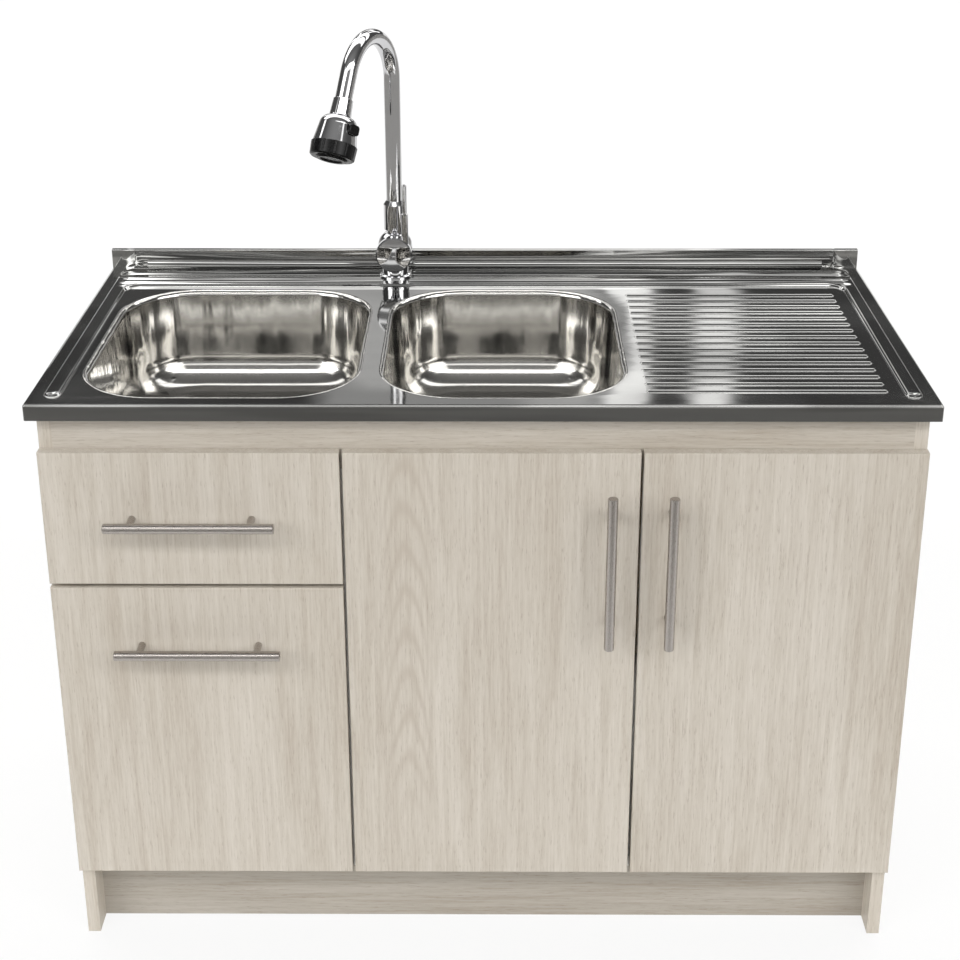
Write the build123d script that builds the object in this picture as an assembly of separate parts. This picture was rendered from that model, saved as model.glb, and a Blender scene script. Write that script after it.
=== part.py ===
from build123d import *
import math
import os

# Kitchen sink unit: a floor-standing cabinet with two drawers and two doors under a lay-on
# steel sink with two bowls and a drainer, and a one-hole mixer tap with a gooseneck spout.
# Frame: +X right, +Y to the wall, +Z up, millimetres. The floor is z = 0 and the origin is the
# middle of the footprint, handles included.

# ---------------------------------------------------------------- sink
sink_length = 1200.0
sink_depth = 600.0
worktop_height = 852.0
sheet = 1.0
edge_height = 22.0
edge_round = 2.5
upstand_height = 29.0
upstand_thickness = 10.0
side_overhang = 13.0
front_overhang = 16.0
bowl_front_margin = 25.4
bowl_back_margin = 123.0
bowl_depth = 150.0
bowl_corner = 80.0
bowl_draft = 3.0
bowl_lip_step = 9.0
bowl_lip_round = 8.0
bowl_floor_round = 38.0
left_bowl_start = 52.0
left_bowl_width = 383.0
bowl_bridge = 21.5
right_bowl_width = 343.0
emboss_height = 4.0
emboss_round = 2.6
ledge_depth = 110.0
bead_width = 26.0
bead_inset = 21.0
bead_front_margin = 28.0
ledge_corner = 34.0
ledge_back_gap = 6.0
frame_back_corner = 38.0
cove_radius = 9.0
rib_pitch = 26.4
rib_width = 9.0
rib_height = 3.0
rib_round = 2.4
rib_front_margin = 50.2
rib_back_margin = 43.8
drainer_gap = 17.5
drainer_end_gap = 16.0

# ---------------------------------------------------------------- cabinet
back_clearance = 4.0
gable_thickness = 18.0
board_thickness = 16.0
plinth_height = 120.0
plinth_recess = 40.5
rail_height = 83.0
rail_drop = 14.0
back_thickness = 3.0
back_groove_inset = 2.0
drawer_bay = 374.0
divider_tongue = 34.0
divider_drop = 11.0
service_width = 300.0
service_height = 330.0
service_sill = 120.0

# ---------------------------------------------------------------- fronts and handles
front_thickness = 16.0
front_gap = 1.5
front_bottom = 121.0
front_top = 785.0
front_chamfer = 1.0
side_gap = 4.0
drawer_gap = 6.0
top_front_height = 194.0
right_door_width = 374.0
bar_diameter = 14.0
bar_length = 226.0
bar_chamfer = 1.0
post_diameter = 10.0
post_spacing = 160.0
bar_standoff = 30.0
drawer_bar_drop = 96.0
door_bar_drop = 51.0
door_bar_inset = 38.0

# ---------------------------------------------------------------- drawers
runner_space = 13.0
drawer_board = 12.0
drawer_base_thickness = 4.0
drawer_back_space = 129.0
top_box_bottom = 600.0
top_box_height = 85.0
low_box_bottom = 150.0
low_box_height = 240.0
runner_setback = 8.0
runner_height = 42.0
runner_steel = 1.2
runner_reach = 10.5
runner_lift = 18.0
runner_ball_gap = 2.0
notch_side = 18.0
notch_lead = 36.2

# ---------------------------------------------------------------- hinges
cup_diameter = 35.0
cup_depth = 11.5
cup_edge = 5.0
cup_wall = 1.0
flange_length = 52.0
flange_width = 22.0
flange_thickness = 1.2
hinge_end_distance = 130.0
arm_width = 16.0
arm_height = 11.0
arm_length = 78.0
arm_setback = 2.0
plate_length = 50.0
plate_depth = 34.0
plate_thickness = 3.0
plate_setback = 36.0

# ---------------------------------------------------------------- wastes and trap
drain_hole = 86.0
drain_flange = 112.0
drain_flange_thickness = 1.2
strainer_cup_depth = 44.0
strainer_cup_bottom = 62.0
basket_rim = 88.0
basket_bottom = 48.0
basket_depth = 26.0
basket_clearance = 0.3
basket_holes = 16
basket_hole = 4.0
knob_diameter = 18.0
waste_nut_diameter = 98.0
waste_nut_height = 18.0
pipe_diameter = 40.0
pipe_wall = 2.0
pipe_bend = 42.0
pipe_drop = 96.0
pipe_back_space = 77.0
coupling_diameter = 54.0
coupling_height = 20.0
trap_diameter = 74.0
trap_top_drop = 175.0
trap_height = 120.0
trap_cup_height = 50.0
trap_cup_diameter = 82.0
outlet_drop = 40.0
outlet_grip = 60.0
stop_ring_diameter = 45.0
stop_ring_width = 3.0

# ---------------------------------------------------------------- tap
tap_start = 460.0
tap_back = 64.0
flange_diameter_tap = 50.0
flange_height_tap = 4.0
neck_diameter = 43.0
ball_diameter = 54.0
ball_height = 49.0
spigot_diameter = 26.0
spigot_height = 96.0
sleeve_diameter = 34.0
sleeve_bottom = 77.0
sleeve_top = 123.0
spout_diameter = 25.0
arch_start = 313.0
arch_radius = 75.0
arch_sweep = 151.4
spout_turn = 22.7
spout_tail = 52.0
running_gap = 0.05
collar_start = 40.0
collar_top_diameter = 29.0
collar_diameter = 32.0
head_start = 66.5
head_shoulder_diameter = 56.0
head_diameter = 65.0
head_end = 107.0
ring_diameter = 67.5
ring_height = 21.0
ring_flutes = 12
flute_depth = 1.6
nozzle_diameter = 46.0
nozzle_step = 3.0
nozzle_wall = 2.0
button_width = 20.0
button_height = 15.0
button_stand = 3.0
button_clearance = 0.4
button_turn = 15.0
cap_diameter = 56.0
cap_back = 34.0
cap_thickness = 12.0
cap_height = 46.5
cap_dome = 2.0
stem_diameter = 12.0
stem_gap = 0.4
stem_reach = 14.0
tip_pivot = 24.0
housing_diameter = 34.0
housing_front = 27.5
lever_offset = 17.5
lever_foot_diameter = 11.0
lever_foot_top = 113.0
lever_diameter = 7.6
lever_top = 158.0
shank_diameter = 32.0
shank_length = 48.0
shank_hole = 35.0
washer_diameter = 50.0
washer_thickness = 3.0
tap_nut_width = 42.0
tap_nut_height = 10.0

# ---------------------------------------------------------------- worked out
deck_z = worktop_height
skirt_z = deck_z - edge_height
gable_top = deck_z - sheet
rail_top = deck_z - rail_drop
rail_bottom = rail_top - rail_height
face_reach = front_gap + front_thickness
front_reach = face_reach + bar_standoff + bar_diameter / 2
back_reach = sink_depth - front_overhang
front_y = (front_reach - back_reach) / 2
sink_front = front_y - front_overhang
sink_back = sink_front + sink_depth
face_y = front_y - face_reach
carcass_depth = sink_depth - front_overhang - back_clearance - back_thickness
carcass_width = sink_length - 2 * side_overhang
half_width = carcass_width / 2
inner_half = half_width - gable_thickness
base_top = plinth_height + board_thickness
divider_left = -inner_half + drawer_bay
divider_right = divider_left + board_thickness
bowl_bottom = deck_z - bowl_depth - sheet
bowl_span = sink_depth - bowl_front_margin - bowl_back_margin
bowl_y = sink_front + bowl_front_margin + bowl_span / 2
left_bowl_x = -sink_length / 2 + left_bowl_start + left_bowl_width / 2
right_bowl_start = left_bowl_start + left_bowl_width + bowl_bridge
right_bowl_x = -sink_length / 2 + right_bowl_start + right_bowl_width / 2
ledge_z = deck_z + emboss_height
ledge_start = sink_depth - ledge_depth
rib_field = ledge_start - rib_front_margin - rib_back_margin
rib_count = 1 + int(rib_field / rib_pitch + 0.01)
drainer_start = right_bowl_start + right_bowl_width + drainer_gap
drainer_length = sink_length - drainer_start - drainer_end_gap - bead_width - bead_inset
box_left = -inner_half + runner_space
box_right = divider_left - runner_space
top_front_bottom = front_top - top_front_height
low_front_top = top_front_bottom - drawer_gap
drawer_depth = carcass_depth - drawer_back_space
runner_length = drawer_depth - runner_setback
notch_width = waste_nut_diameter + 2 * notch_side
notch_front = bowl_y - front_y - waste_nut_diameter / 2 - notch_lead
drawer_front_right = (divider_left + divider_right - side_gap) / 2
middle_door_left = drawer_front_right + side_gap
right_door_left = half_width - right_door_width
middle_door_right = right_door_left - side_gap
tap_x = -sink_length / 2 + tap_start
tap_axis_y = sink_back - tap_back
pipe_z = bowl_bottom - pipe_drop
pipe_run_y = front_y + carcass_depth - pipe_back_space
trap_top = bowl_bottom - trap_top_drop
outlet_z = trap_top - outlet_drop


def board(x, y, z):
    """A flat rectangular panel between the given start and end values."""
    size = (x[1] - x[0], y[1] - y[0], z[1] - z[0])
    return Pos(x[0], y[0], z[0]) * Box(*size, align=(Align.MIN, Align.MIN, Align.MIN))


def turned(points):
    """A solid of revolution about Z from an (r, z) outline."""
    outline = make_face(Plane.XZ * Polyline(*points, close=True))
    return revolve(outline, Axis.Z)


def tube(outer, inner, z0, z1):
    """An upright round tube."""
    height = z1 - z0
    wall = Circle(outer / 2) - Circle(inner / 2)
    return Pos(0, 0, z0) * extrude(wall, height)


def on_plane(z, sketch):
    """A sketch lifted to a height."""
    return Pos(0, 0, z) * sketch


# ================================================================ cabinet
def gable(side):
    x0 = -half_width if side < 0 else inner_half
    return board((x0, x0 + gable_thickness), (front_y, front_y + carcass_depth), (0, gable_top))


def divider():
    """Upright between the drawers and the doors, cut low to pass under the left bowl."""
    low_top = bowl_bottom - divider_drop
    y0 = front_y + board_thickness
    y1 = front_y + carcass_depth
    y_tongue = front_y + divider_tongue
    outline = Polyline(
        (front_y, base_top),
        (y1, base_top),
        (y1, low_top),
        (y_tongue, low_top),
        (y_tongue, rail_top),
        (y0, rail_top),
        (y0, rail_bottom),
        (front_y, rail_bottom),
        close=True,
    )
    side_plane = Plane((divider_left, 0, 0), x_dir=(0, 1, 0), z_dir=(1, 0, 0))
    panel = extrude(make_face(side_plane * outline), board_thickness)
    pipe_notch = board(
        (divider_left - 1, divider_right + 1),
        (pipe_run_y - pipe_diameter, y1 + 1),
        (pipe_z - pipe_diameter, low_top + 1),
    )
    return panel - pipe_notch


def base_panel():
    y1 = front_y + carcass_depth
    return board((-inner_half, inner_half), (front_y, y1), (plinth_height, base_top))


def front_rail():
    y = (front_y, front_y + board_thickness)
    return board((-inner_half, inner_half), y, (rail_bottom, rail_top))


def rear_rail():
    y1 = front_y + carcass_depth
    return board((-inner_half, inner_half), (y1 - board_thickness, y1), (rail_bottom, rail_top))


def plinth():
    y0 = front_y + plinth_recess
    return board((-inner_half, inner_half), (y0, y0 + board_thickness), (0, plinth_height))


def back_panel():
    """Thin back, open behind the trap for the water and waste connections."""
    y0 = front_y + carcass_depth
    x1 = half_width - back_groove_inset
    panel = board((-x1, x1), (y0, y0 + back_thickness), (plinth_height, rail_top))
    opening = Rectangle(service_width, service_height)
    opening_z = base_top + service_sill + service_height / 2
    cutter = Plane((right_bowl_x, y0 - 1, opening_z), x_dir=(1, 0, 0), z_dir=(0, 1, 0)) * opening
    return panel - extrude(cutter, back_thickness + 2)


# ================================================================ sink
def rim_outline(center_x, width, grow, corner):
    """Rounded outline of a bowl, grown or shrunk from its mouth."""
    return Pos(center_x, bowl_y) * RectangleRounded(width + 2 * grow, bowl_span + 2 * grow, corner + grow)


def bowl_fill(center_x, width, shell):
    """The water space of a bowl, or the same space grown by the sheet's thickness."""
    top = deck_z - shell
    wall = rim_outline(center_x, width, shell - bowl_lip_step, bowl_corner)
    depth = bowl_depth
    body = extrude(on_plane(top, wall), amount=depth, dir=(0, 0, -1), taper=bowl_draft)
    floor_edges = body.faces().sort_by(Axis.Z)[0].edges()
    body = fillet(floor_edges, bowl_floor_round + shell)
    mouth = extrude(on_plane(top, rim_outline(center_x, width, 0, bowl_corner)), edge_height)
    whole = body + mouth
    ledge = whole.faces().filter_by(Axis.Z).sort_by(Axis.Z)[-2]
    lip = ledge.inner_wires()[0].edges()
    return fillet(lip, bowl_lip_round - shell)


def bowl(center_x, width):
    shell = bowl_fill(center_x, width, sheet) - bowl_fill(center_x, width, 0)
    above = Pos(center_x, bowl_y, deck_z) * Box(
        2 * width, 2 * bowl_span, 4 * edge_height, align=(Align.CENTER, Align.CENTER, Align.MIN)
    )
    drain = Pos(center_x, bowl_y, bowl_bottom - 1) * Cylinder(
        drain_hole / 2, sheet + 2, align=(Align.CENTER, Align.CENTER, Align.MIN)
    )
    return shell - above - drain


def frame_outline(inset):
    """The raised bead down both sides and the tap ledge along the back, one U-shaped outline."""
    x_out = sink_length / 2 - bead_inset - inset
    x_in = sink_length / 2 - bead_inset - bead_width + inset
    y_end = sink_back - upstand_thickness - ledge_back_gap - inset
    y_ledge = sink_front + ledge_start + inset
    y_front = sink_front + bead_front_margin + inset
    whole = Rectangle(2 * x_out, y_end - y_front, align=(Align.CENTER, Align.MIN))
    notch = Rectangle(2 * x_in, y_ledge - y_front + 1, align=(Align.CENTER, Align.MIN))
    ring = Pos(0, y_front) * whole - Pos(0, y_front - 1) * notch
    inner_corners = ring.vertices().filter_by(lambda v: abs(v.Y - y_ledge) < 0.01 and abs(v.X) < x_out - 1)
    ring = fillet(inner_corners, ledge_corner - inset)
    back_corners = ring.vertices().filter_by(lambda v: abs(v.Y - y_end) < 0.01)
    ring = fillet(back_corners, frame_back_corner - inset)
    tips = ring.vertices().filter_by(lambda v: abs(v.Y - y_front) < 0.01)
    return fillet(tips, (bead_width - 2 * inset) / 2 - 0.2)


def deck_emboss():
    raised = extrude(on_plane(deck_z, frame_outline(0)), emboss_height)
    raised = fillet(raised.faces().sort_by(Axis.Z)[-1].edges(), emboss_round)
    hollow = extrude(on_plane(deck_z - 2 * sheet, frame_outline(sheet)), emboss_height + sheet)
    return raised, hollow


def upstand_cove():
    """Hollow rounding that carries the tap ledge up into the upstand."""
    half = sink_length / 2 - bead_inset - frame_back_corner
    y_wall = sink_back - upstand_thickness
    block = board(
        (-half, half),
        (y_wall - cove_radius, y_wall + sheet / 2),
        (deck_z - sheet / 2, ledge_z + cove_radius),
    )
    centre = Pos(0, y_wall - cove_radius, ledge_z + cove_radius)
    return block - centre * Rot(0, 90, 0) * Cylinder(cove_radius, 2 * half + 2)


def rib_outline(inset):
    slot = SlotOverall(drainer_length - 2 * inset, rib_width - 2 * inset)
    x = -sink_length / 2 + drainer_start + drainer_length / 2
    y = sink_front + rib_front_margin
    return [Pos(x, y + n * rib_pitch) * slot for n in range(rib_count)]


def drainer_ribs():
    ribs = []
    hollows = []
    for top, under in zip(rib_outline(0), rib_outline(sheet)):
        rib = extrude(on_plane(deck_z, top), rib_height)
        ribs.append(fillet(rib.faces().sort_by(Axis.Z)[-1].edges(), rib_round))
        hollows.append(extrude(on_plane(deck_z - 2 * sheet, under), rib_height + sheet))
    return ribs, hollows


def deck_section():
    """Cross-section through the sink: front skirt, deck, upstand with its lip, and back skirt."""
    y0 = sink_front
    y1 = sink_back
    bottom = skirt_z
    line = Polyline(
        (y0, bottom),
        (y0, deck_z),
        (y1 - upstand_thickness, deck_z),
        (y1 - upstand_thickness, deck_z + upstand_height),
        (y1, deck_z + upstand_height),
        (y1, bottom),
        (y1 - sheet, bottom),
        (y1 - sheet, deck_z + upstand_height - sheet),
        (y1 - upstand_thickness + sheet, deck_z + upstand_height - sheet),
        (y1 - upstand_thickness + sheet, deck_z - sheet),
        (y0 + sheet, deck_z - sheet),
        (y0 + sheet, bottom),
        close=True,
    )
    section = make_face(line)
    corner = section.vertices().filter_by(lambda v: abs(v.Y - deck_z) < 0.01 and abs(v.X - y0) < 0.01)
    return fillet(corner, edge_round)


def end_skirt(side):
    """The folded end of the sink, closing the deck and the upstand."""
    x0 = sink_length / 2 - sheet if side > 0 else -sink_length / 2
    y1 = sink_back
    outline = Polyline(
        (sink_front + edge_round, skirt_z),
        (sink_front + edge_round, deck_z - sheet / 2),
        (y1 - upstand_thickness + sheet / 2, deck_z - sheet / 2),
        (y1 - upstand_thickness + sheet / 2, deck_z + upstand_height - sheet / 2),
        (y1 - sheet / 2, deck_z + upstand_height - sheet / 2),
        (y1 - sheet / 2, skirt_z),
        close=True,
    )
    plane = Plane((x0, 0, 0), x_dir=(0, 1, 0), z_dir=(1, 0, 0))
    return extrude(make_face(plane * outline), sheet, dir=(1, 0, 0))


def sink_top():
    plane = Plane((-sink_length / 2, 0, 0), x_dir=(0, 1, 0), z_dir=(1, 0, 0))
    deck = extrude(plane * deck_section(), sink_length, dir=(1, 0, 0))
    deck += end_skirt(-1)
    deck += end_skirt(1)
    for center_x, width in ((left_bowl_x, left_bowl_width), (right_bowl_x, right_bowl_width)):
        mouth = extrude(on_plane(deck_z - 2 * sheet, rim_outline(center_x, width, 0, bowl_corner)), 4 * sheet)
        deck -= mouth
    raised, hollow = deck_emboss()
    deck += raised
    deck -= hollow
    ribs, hollows = drainer_ribs()
    deck += ribs
    deck -= hollows
    deck += upstand_cove()
    tap_hole = Pos(tap_x, tap_axis_y, deck_z) * Cylinder(shank_hole / 2, 6 * emboss_height)
    return deck - tap_hole


# ================================================================ wastes and trap
def waste_flange():
    """Polished cup that the basket sits in, clamped on the bowl's floor."""
    r_hole = drain_hole / 2 - 0.5
    r_low = strainer_cup_bottom / 2
    r_out = pipe_diameter / 2 - pipe_wall
    t = drain_flange_thickness
    outline = [
        (drain_flange / 2, sheet),
        (drain_flange / 2 - 1, sheet + t),
        (r_hole - 2, sheet + t),
        (r_hole - t, sheet - 1),
        (r_low, -strainer_cup_depth + t),
        (r_out, -strainer_cup_depth + t),
        (r_out, -strainer_cup_depth),
        (r_low + t, -strainer_cup_depth),
        (r_hole, sheet - 2),
        (r_hole, sheet),
    ]
    return turned(outline)


def basket():
    """Lift-out strainer with its seating rim, its holes and its centre knob."""
    t = drain_flange_thickness
    seat = sheet + t + basket_clearance
    r_rim = basket_rim / 2
    r0 = drain_hole / 2 - 4
    r1 = basket_bottom / 2
    low = seat - basket_depth
    outline = [
        (0, low),
        (r1, low),
        (r0, seat - 6),
        (r0, seat),
        (r_rim, seat),
        (r_rim, seat + t),
        (r0 - t, seat + t),
        (r0 - t, seat - 6),
        (r1 - t, low + t),
        (knob_diameter / 6, low + t),
        (knob_diameter / 6, seat - knob_diameter / 2),
        (knob_diameter / 2, seat - knob_diameter / 3),
        (knob_diameter / 2 - 1, seat - 2),
        (0, seat - 1),
    ]
    body = turned(outline)
    hole = Cylinder(basket_hole / 2, 4 * basket_hole)
    ring_radius = r1 - basket_hole
    return body - [loc * hole for loc in Pos(0, 0, low) * PolarLocations(ring_radius, basket_holes)]


def waste_body():
    """Plastic body and nut under the bowl that the flange screws into."""
    r_nut = waste_nut_diameter / 2
    r_in = strainer_cup_bottom / 2 + 4
    r_pipe = pipe_diameter / 2
    low = -strainer_cup_depth - 0.3
    outline = [
        (drain_hole / 2 + 1, 0),
        (r_nut, 0),
        (r_nut, -waste_nut_height),
        (drain_hole / 2 + 4, -waste_nut_height - 2),
        (r_in + 4, low - 2),
        (r_pipe + 3, low - 8),
        (r_pipe + 3, low - 22),
        (r_pipe + 0.3, low - 22),
        (r_pipe + 0.3, low),
        (r_in, low),
        (drain_hole / 2 + 1, -waste_nut_height),
    ]
    return turned(outline)


def bowl_waste(center_x, shape):
    return Pos(center_x, bowl_y, bowl_bottom) * shape


def drain_pipe():
    """Waste pipe from the left bowl, behind the drawers, to the branch above the trap."""
    y_branch = bowl_y + coupling_diameter / 2
    z_start = bowl_bottom - strainer_cup_depth - 3
    route = FilletPolyline(
        (left_bowl_x, bowl_y, z_start),
        (left_bowl_x, bowl_y, pipe_z),
        (left_bowl_x, pipe_run_y, pipe_z),
        (right_bowl_x, pipe_run_y, pipe_z),
        (right_bowl_x, y_branch, pipe_z),
        radius=pipe_bend * 0.75,
    )
    start = Plane((left_bowl_x, bowl_y, z_start), z_dir=(0, 0, -1))
    wall = Circle(pipe_diameter / 2) - Circle(pipe_diameter / 2 - pipe_wall)
    return sweep(start * wall, path=route)


def trap_inlet():
    """Upright pipe from the right bowl into the trap, with the branch for the left bowl."""
    top = bowl_bottom - strainer_cup_depth - 3
    upright = Pos(0, 0, trap_top - 20) * Cylinder(
        pipe_diameter / 2, top - trap_top + 20, align=(Align.CENTER, Align.CENTER, Align.MIN)
    )
    hub = Pos(0, 0, pipe_z) * Cylinder(coupling_diameter / 2, coupling_diameter)
    across = Pos(0, 0, pipe_z) * Rot(-90, 0, 0)
    arm = across * Cylinder(
        coupling_diameter / 2 - 1, coupling_diameter, align=(Align.CENTER, Align.CENTER, Align.MIN)
    )
    branch = across * Cylinder(
        pipe_diameter / 2 - pipe_wall, coupling_diameter, align=(Align.CENTER, Align.CENTER, Align.MIN)
    )
    socket = Pos(0, coupling_diameter / 2, 0) * across * Cylinder(
        pipe_diameter / 2 + 0.3, coupling_diameter, align=(Align.CENTER, Align.CENTER, Align.MIN)
    )
    core = Pos(0, 0, trap_top - 20) * Cylinder(
        pipe_diameter / 2 - pipe_wall, top - trap_top + 20, align=(Align.CENTER, Align.CENTER, Align.MIN)
    )
    return Pos(right_bowl_x, bowl_y) * (upright + hub + arm - socket - branch - core)


def trap_body():
    r = trap_diameter / 2
    r_in = pipe_diameter / 2 + 0.3
    low = trap_top - trap_height
    outline = [
        (r_in, trap_top + coupling_height),
        (r_in + 8, trap_top + coupling_height),
        (r_in + 8, trap_top),
        (r - 4, trap_top),
        (r, trap_top - 4),
        (r, low + trap_cup_height),
        (r - 3, low + trap_cup_height),
        (r - 3, trap_top - 5),
        (r_in, trap_top - 5),
    ]
    body = turned(outline)
    bore = pipe_diameter / 2 - pipe_wall
    length = back_reach - (bowl_y - front_y)
    boss = Pos(0, 0, outlet_z) * Rot(-90, 0, 0) * Cylinder(
        pipe_diameter / 2 + 5, trap_diameter / 2 + 20, align=(Align.CENTER, Align.CENTER, Align.MIN)
    )
    inside = Pos(0, 0, low) * Cylinder(r - 3, trap_height - 5, align=(Align.CENTER, Align.CENTER, Align.MIN))
    socket = Pos(0, 0, outlet_z) * Rot(-90, 0, 0) * Cylinder(
        pipe_diameter / 2 + 0.3, length, align=(Align.CENTER, Align.CENTER, Align.MIN)
    )
    ledge = Pos(0, r - 3, outlet_z) * Rot(-90, 0, 0) * tube(pipe_diameter + 1, 2 * bore, 0, 3)
    return Pos(right_bowl_x, bowl_y) * (body + (boss - inside - socket) - socket + ledge)


def trap_cup():
    """Screw-off cup at the bottom of the trap, with its grip ribs."""
    r = trap_cup_diameter / 2
    low = trap_top - trap_height
    top = low + trap_cup_height
    outline = [
        (0, low),
        (r - 8, low),
        (r - 4, low + 3),
        (r, low + trap_cup_height - 16),
        (r, top),
        (trap_diameter / 2 + 0.3, top),
        (trap_diameter / 2 + 0.3, top - 14),
        (trap_diameter / 2 - 3, top - 14),
        (r - 10, low + 4),
        (0, low + 4),
    ]
    cup = turned(outline)
    notch = Cylinder(2.5, trap_cup_height)
    return Pos(right_bowl_x, bowl_y) * (
        cup - [loc * notch for loc in Pos(0, 0, top) * PolarLocations(r + 1.5, 12)]
    )


def trap_outlet():
    """Pipe from the trap through the open back, with the ring that stops the wall connection."""
    start = bowl_y + trap_diameter / 2 + 1
    length = sink_back - start
    bore = pipe_diameter - 2 * pipe_wall
    pipe = tube(pipe_diameter, bore, 0, length)
    stop = tube(stop_ring_diameter, bore, length - outlet_grip - stop_ring_width, length - outlet_grip)
    return Pos(right_bowl_x, start, outlet_z) * Rot(-90, 0, 0) * (pipe + stop)


# ================================================================ fronts and handles
def front_panel(x0, x1, z0, z1):
    panel = board((x0, x1), (face_y, face_y + front_thickness), (z0, z1))
    return chamfer(panel.faces().sort_by(Axis.Y)[0].edges(), front_chamfer)


def bar_handle():
    """Round bar on two posts, lying along X with its posts standing off the face plane."""
    bar = Rot(0, 90, 0) * Cylinder(bar_diameter / 2, bar_length)
    bar = chamfer(bar.edges().filter_by(GeomType.CIRCLE), bar_chamfer)
    post = Rot(-90, 0, 0) * Cylinder(
        post_diameter / 2, bar_standoff, align=(Align.CENTER, Align.CENTER, Align.MIN)
    )
    return bar + [Pos(x, 0, 0) * post for x in (-post_spacing / 2, post_spacing / 2)]


def drawer_handle(x, z):
    return Pos(x, face_y - bar_standoff, z) * bar_handle()


def door_handle(x):
    z = front_top - door_bar_drop - bar_length / 2
    return Pos(x, face_y - bar_standoff, z) * Rot(0, 90, 0) * bar_handle()


# ================================================================ drawers
def runner_channel(depth_sign):
    """Section of a runner member, web against its panel and lips towards its partner."""
    h = runner_height / 2 if depth_sign > 0 else runner_height / 2 - runner_steel - runner_ball_gap
    t = runner_steel
    r = runner_reach
    lip = 3.0
    points = [
        (0, -h),
        (r, -h),
        (r, -h + lip),
        (r - t, -h + lip),
        (r - t, -h + t),
        (t, -h + t),
        (t, h - t),
        (r - t, h - t),
        (r - t, h - lip),
        (r, h - lip),
        (r, h),
        (0, h),
    ]
    if depth_sign < 0:
        reach = r - t - 1.5
        points = [
            (0, -h),
            (reach, -h),
            (reach, -h + t),
            (t, -h + t),
            (t, h - t),
            (reach, h - t),
            (reach, h),
            (0, h),
        ]
    return Polyline(*points, close=True)


def runner(x, z, facing, fixed):
    """One runner member: fixed ones open to the drawer, moving ones open to the cabinet side."""
    plane = Plane((x, front_y + 2, z), x_dir=(facing, 0, 0), z_dir=(0, facing, 0))
    section = make_face(plane * runner_channel(1 if fixed else -1))
    length = runner_length if fixed else runner_length - 2
    return extrude(section, length, dir=(0, 1, 0))


def runner_heights():
    return [z + runner_lift + runner_height / 2 for z in (top_box_bottom, low_box_bottom)]


def fixed_runners():
    members = []
    for z in runner_heights():
        members.append(runner(-inner_half, z, 1, True))
        members.append(runner(divider_left, z, -1, True))
    return Compound(members)


def drawer_runners(level):
    z = runner_heights()[level]
    return Compound([runner(box_left, z, -1, False), runner(box_right, z, 1, False)])


def box_start():
    return face_y + front_thickness


def box_sides(z0, height):
    y = (box_start(), box_start() + drawer_depth)
    z = (z0, z0 + height)
    groove_z = (z0 + 8, z0 + 8 + drawer_base_thickness)
    left = board((box_left, box_left + drawer_board), y, z)
    right = board((box_right - drawer_board, box_right), y, z)
    left -= board((box_left + drawer_board / 2, box_left + drawer_board + 1), y, groove_z)
    right -= board((box_right - drawer_board - 1, box_right - drawer_board / 2), y, groove_z)
    return Compound([left, right])


def low_drawer_back():
    y1 = box_start() + drawer_depth
    x = (box_left + drawer_board, box_right - drawer_board)
    z0 = low_box_bottom + 8 + drawer_base_thickness
    return board(x, (y1 - drawer_board, y1), (z0, low_box_bottom + low_box_height - 10))


def drawer_base(z0):
    x = (box_left + drawer_board / 2, box_right - drawer_board / 2)
    y = (box_start(), box_start() + drawer_depth)
    return board(x, y, (z0 + 8, z0 + 8 + drawer_base_thickness))


def notch_x():
    return (left_bowl_x - notch_width / 2, left_bowl_x + notch_width / 2)


def top_drawer_base():
    """Base cut out round the bowl's waste."""
    x0, x1 = notch_x()
    y0 = front_y + notch_front
    cut = board((x0, x1), (y0, sink_back), (top_box_bottom, top_box_bottom + 4 * drawer_board))
    return drawer_base(top_box_bottom) - cut


def top_drawer_backs():
    y1 = box_start() + drawer_depth
    x0, x1 = notch_x()
    z = (top_box_bottom + 8 + drawer_base_thickness, top_box_bottom + top_box_height - 10)
    y = (y1 - drawer_board, y1)
    left = board((box_left + drawer_board, x0 - drawer_board), y, z)
    right = board((x1 + drawer_board, box_right - drawer_board), y, z)
    return Compound([left, right])


def top_drawer_notch_panels():
    """Three boards that wall the cut-out round the waste."""
    y1 = box_start() + drawer_depth
    y0 = front_y + notch_front
    x0, x1 = notch_x()
    z = (top_box_bottom + 8 + drawer_base_thickness, top_box_bottom + top_box_height - 10)
    left = board((x0 - drawer_board, x0), (y0, y1), z)
    right = board((x1, x1 + drawer_board), (y0, y1), z)
    cross = board((x0 - drawer_board, x1 + drawer_board), (y0 - drawer_board, y0), z)
    return Compound([left, right, cross])


# ================================================================ hinges
def hinge_heights():
    return (front_bottom + hinge_end_distance, front_top - hinge_end_distance)


def cup_center(edge_x, inward):
    return edge_x + inward * (cup_edge + cup_diameter / 2)


def hinge_cup():
    """Round hinge cup let into the door, with its screw flange on the door's back."""
    cup = Rot(90, 0, 0) * Cylinder(cup_diameter / 2, cup_depth, align=(Align.CENTER, Align.CENTER, Align.MIN))
    inside = Rot(90, 0, 0) * Cylinder(
        cup_diameter / 2 - cup_wall, cup_depth - cup_wall, align=(Align.CENTER, Align.CENTER, Align.MIN)
    )
    wing = RectangleRounded(flange_width, flange_length, flange_width / 2 - 0.5)
    flange = extrude(Plane((0, 0, 0), x_dir=(1, 0, 0), z_dir=(0, 1, 0)) * wing, flange_thickness)
    hole = Pos(0, -1, 0) * Rot(-90, 0, 0) * Cylinder(
        cup_diameter / 2 - cup_wall, 3 * flange_thickness, align=(Align.CENTER, Align.CENTER, Align.MIN)
    )
    collar = Rot(-90, 0, 0) * Cylinder(
        cup_diameter / 2, flange_thickness, align=(Align.CENTER, Align.CENTER, Align.MIN)
    )
    return cup + flange + collar - inside - hole


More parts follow.
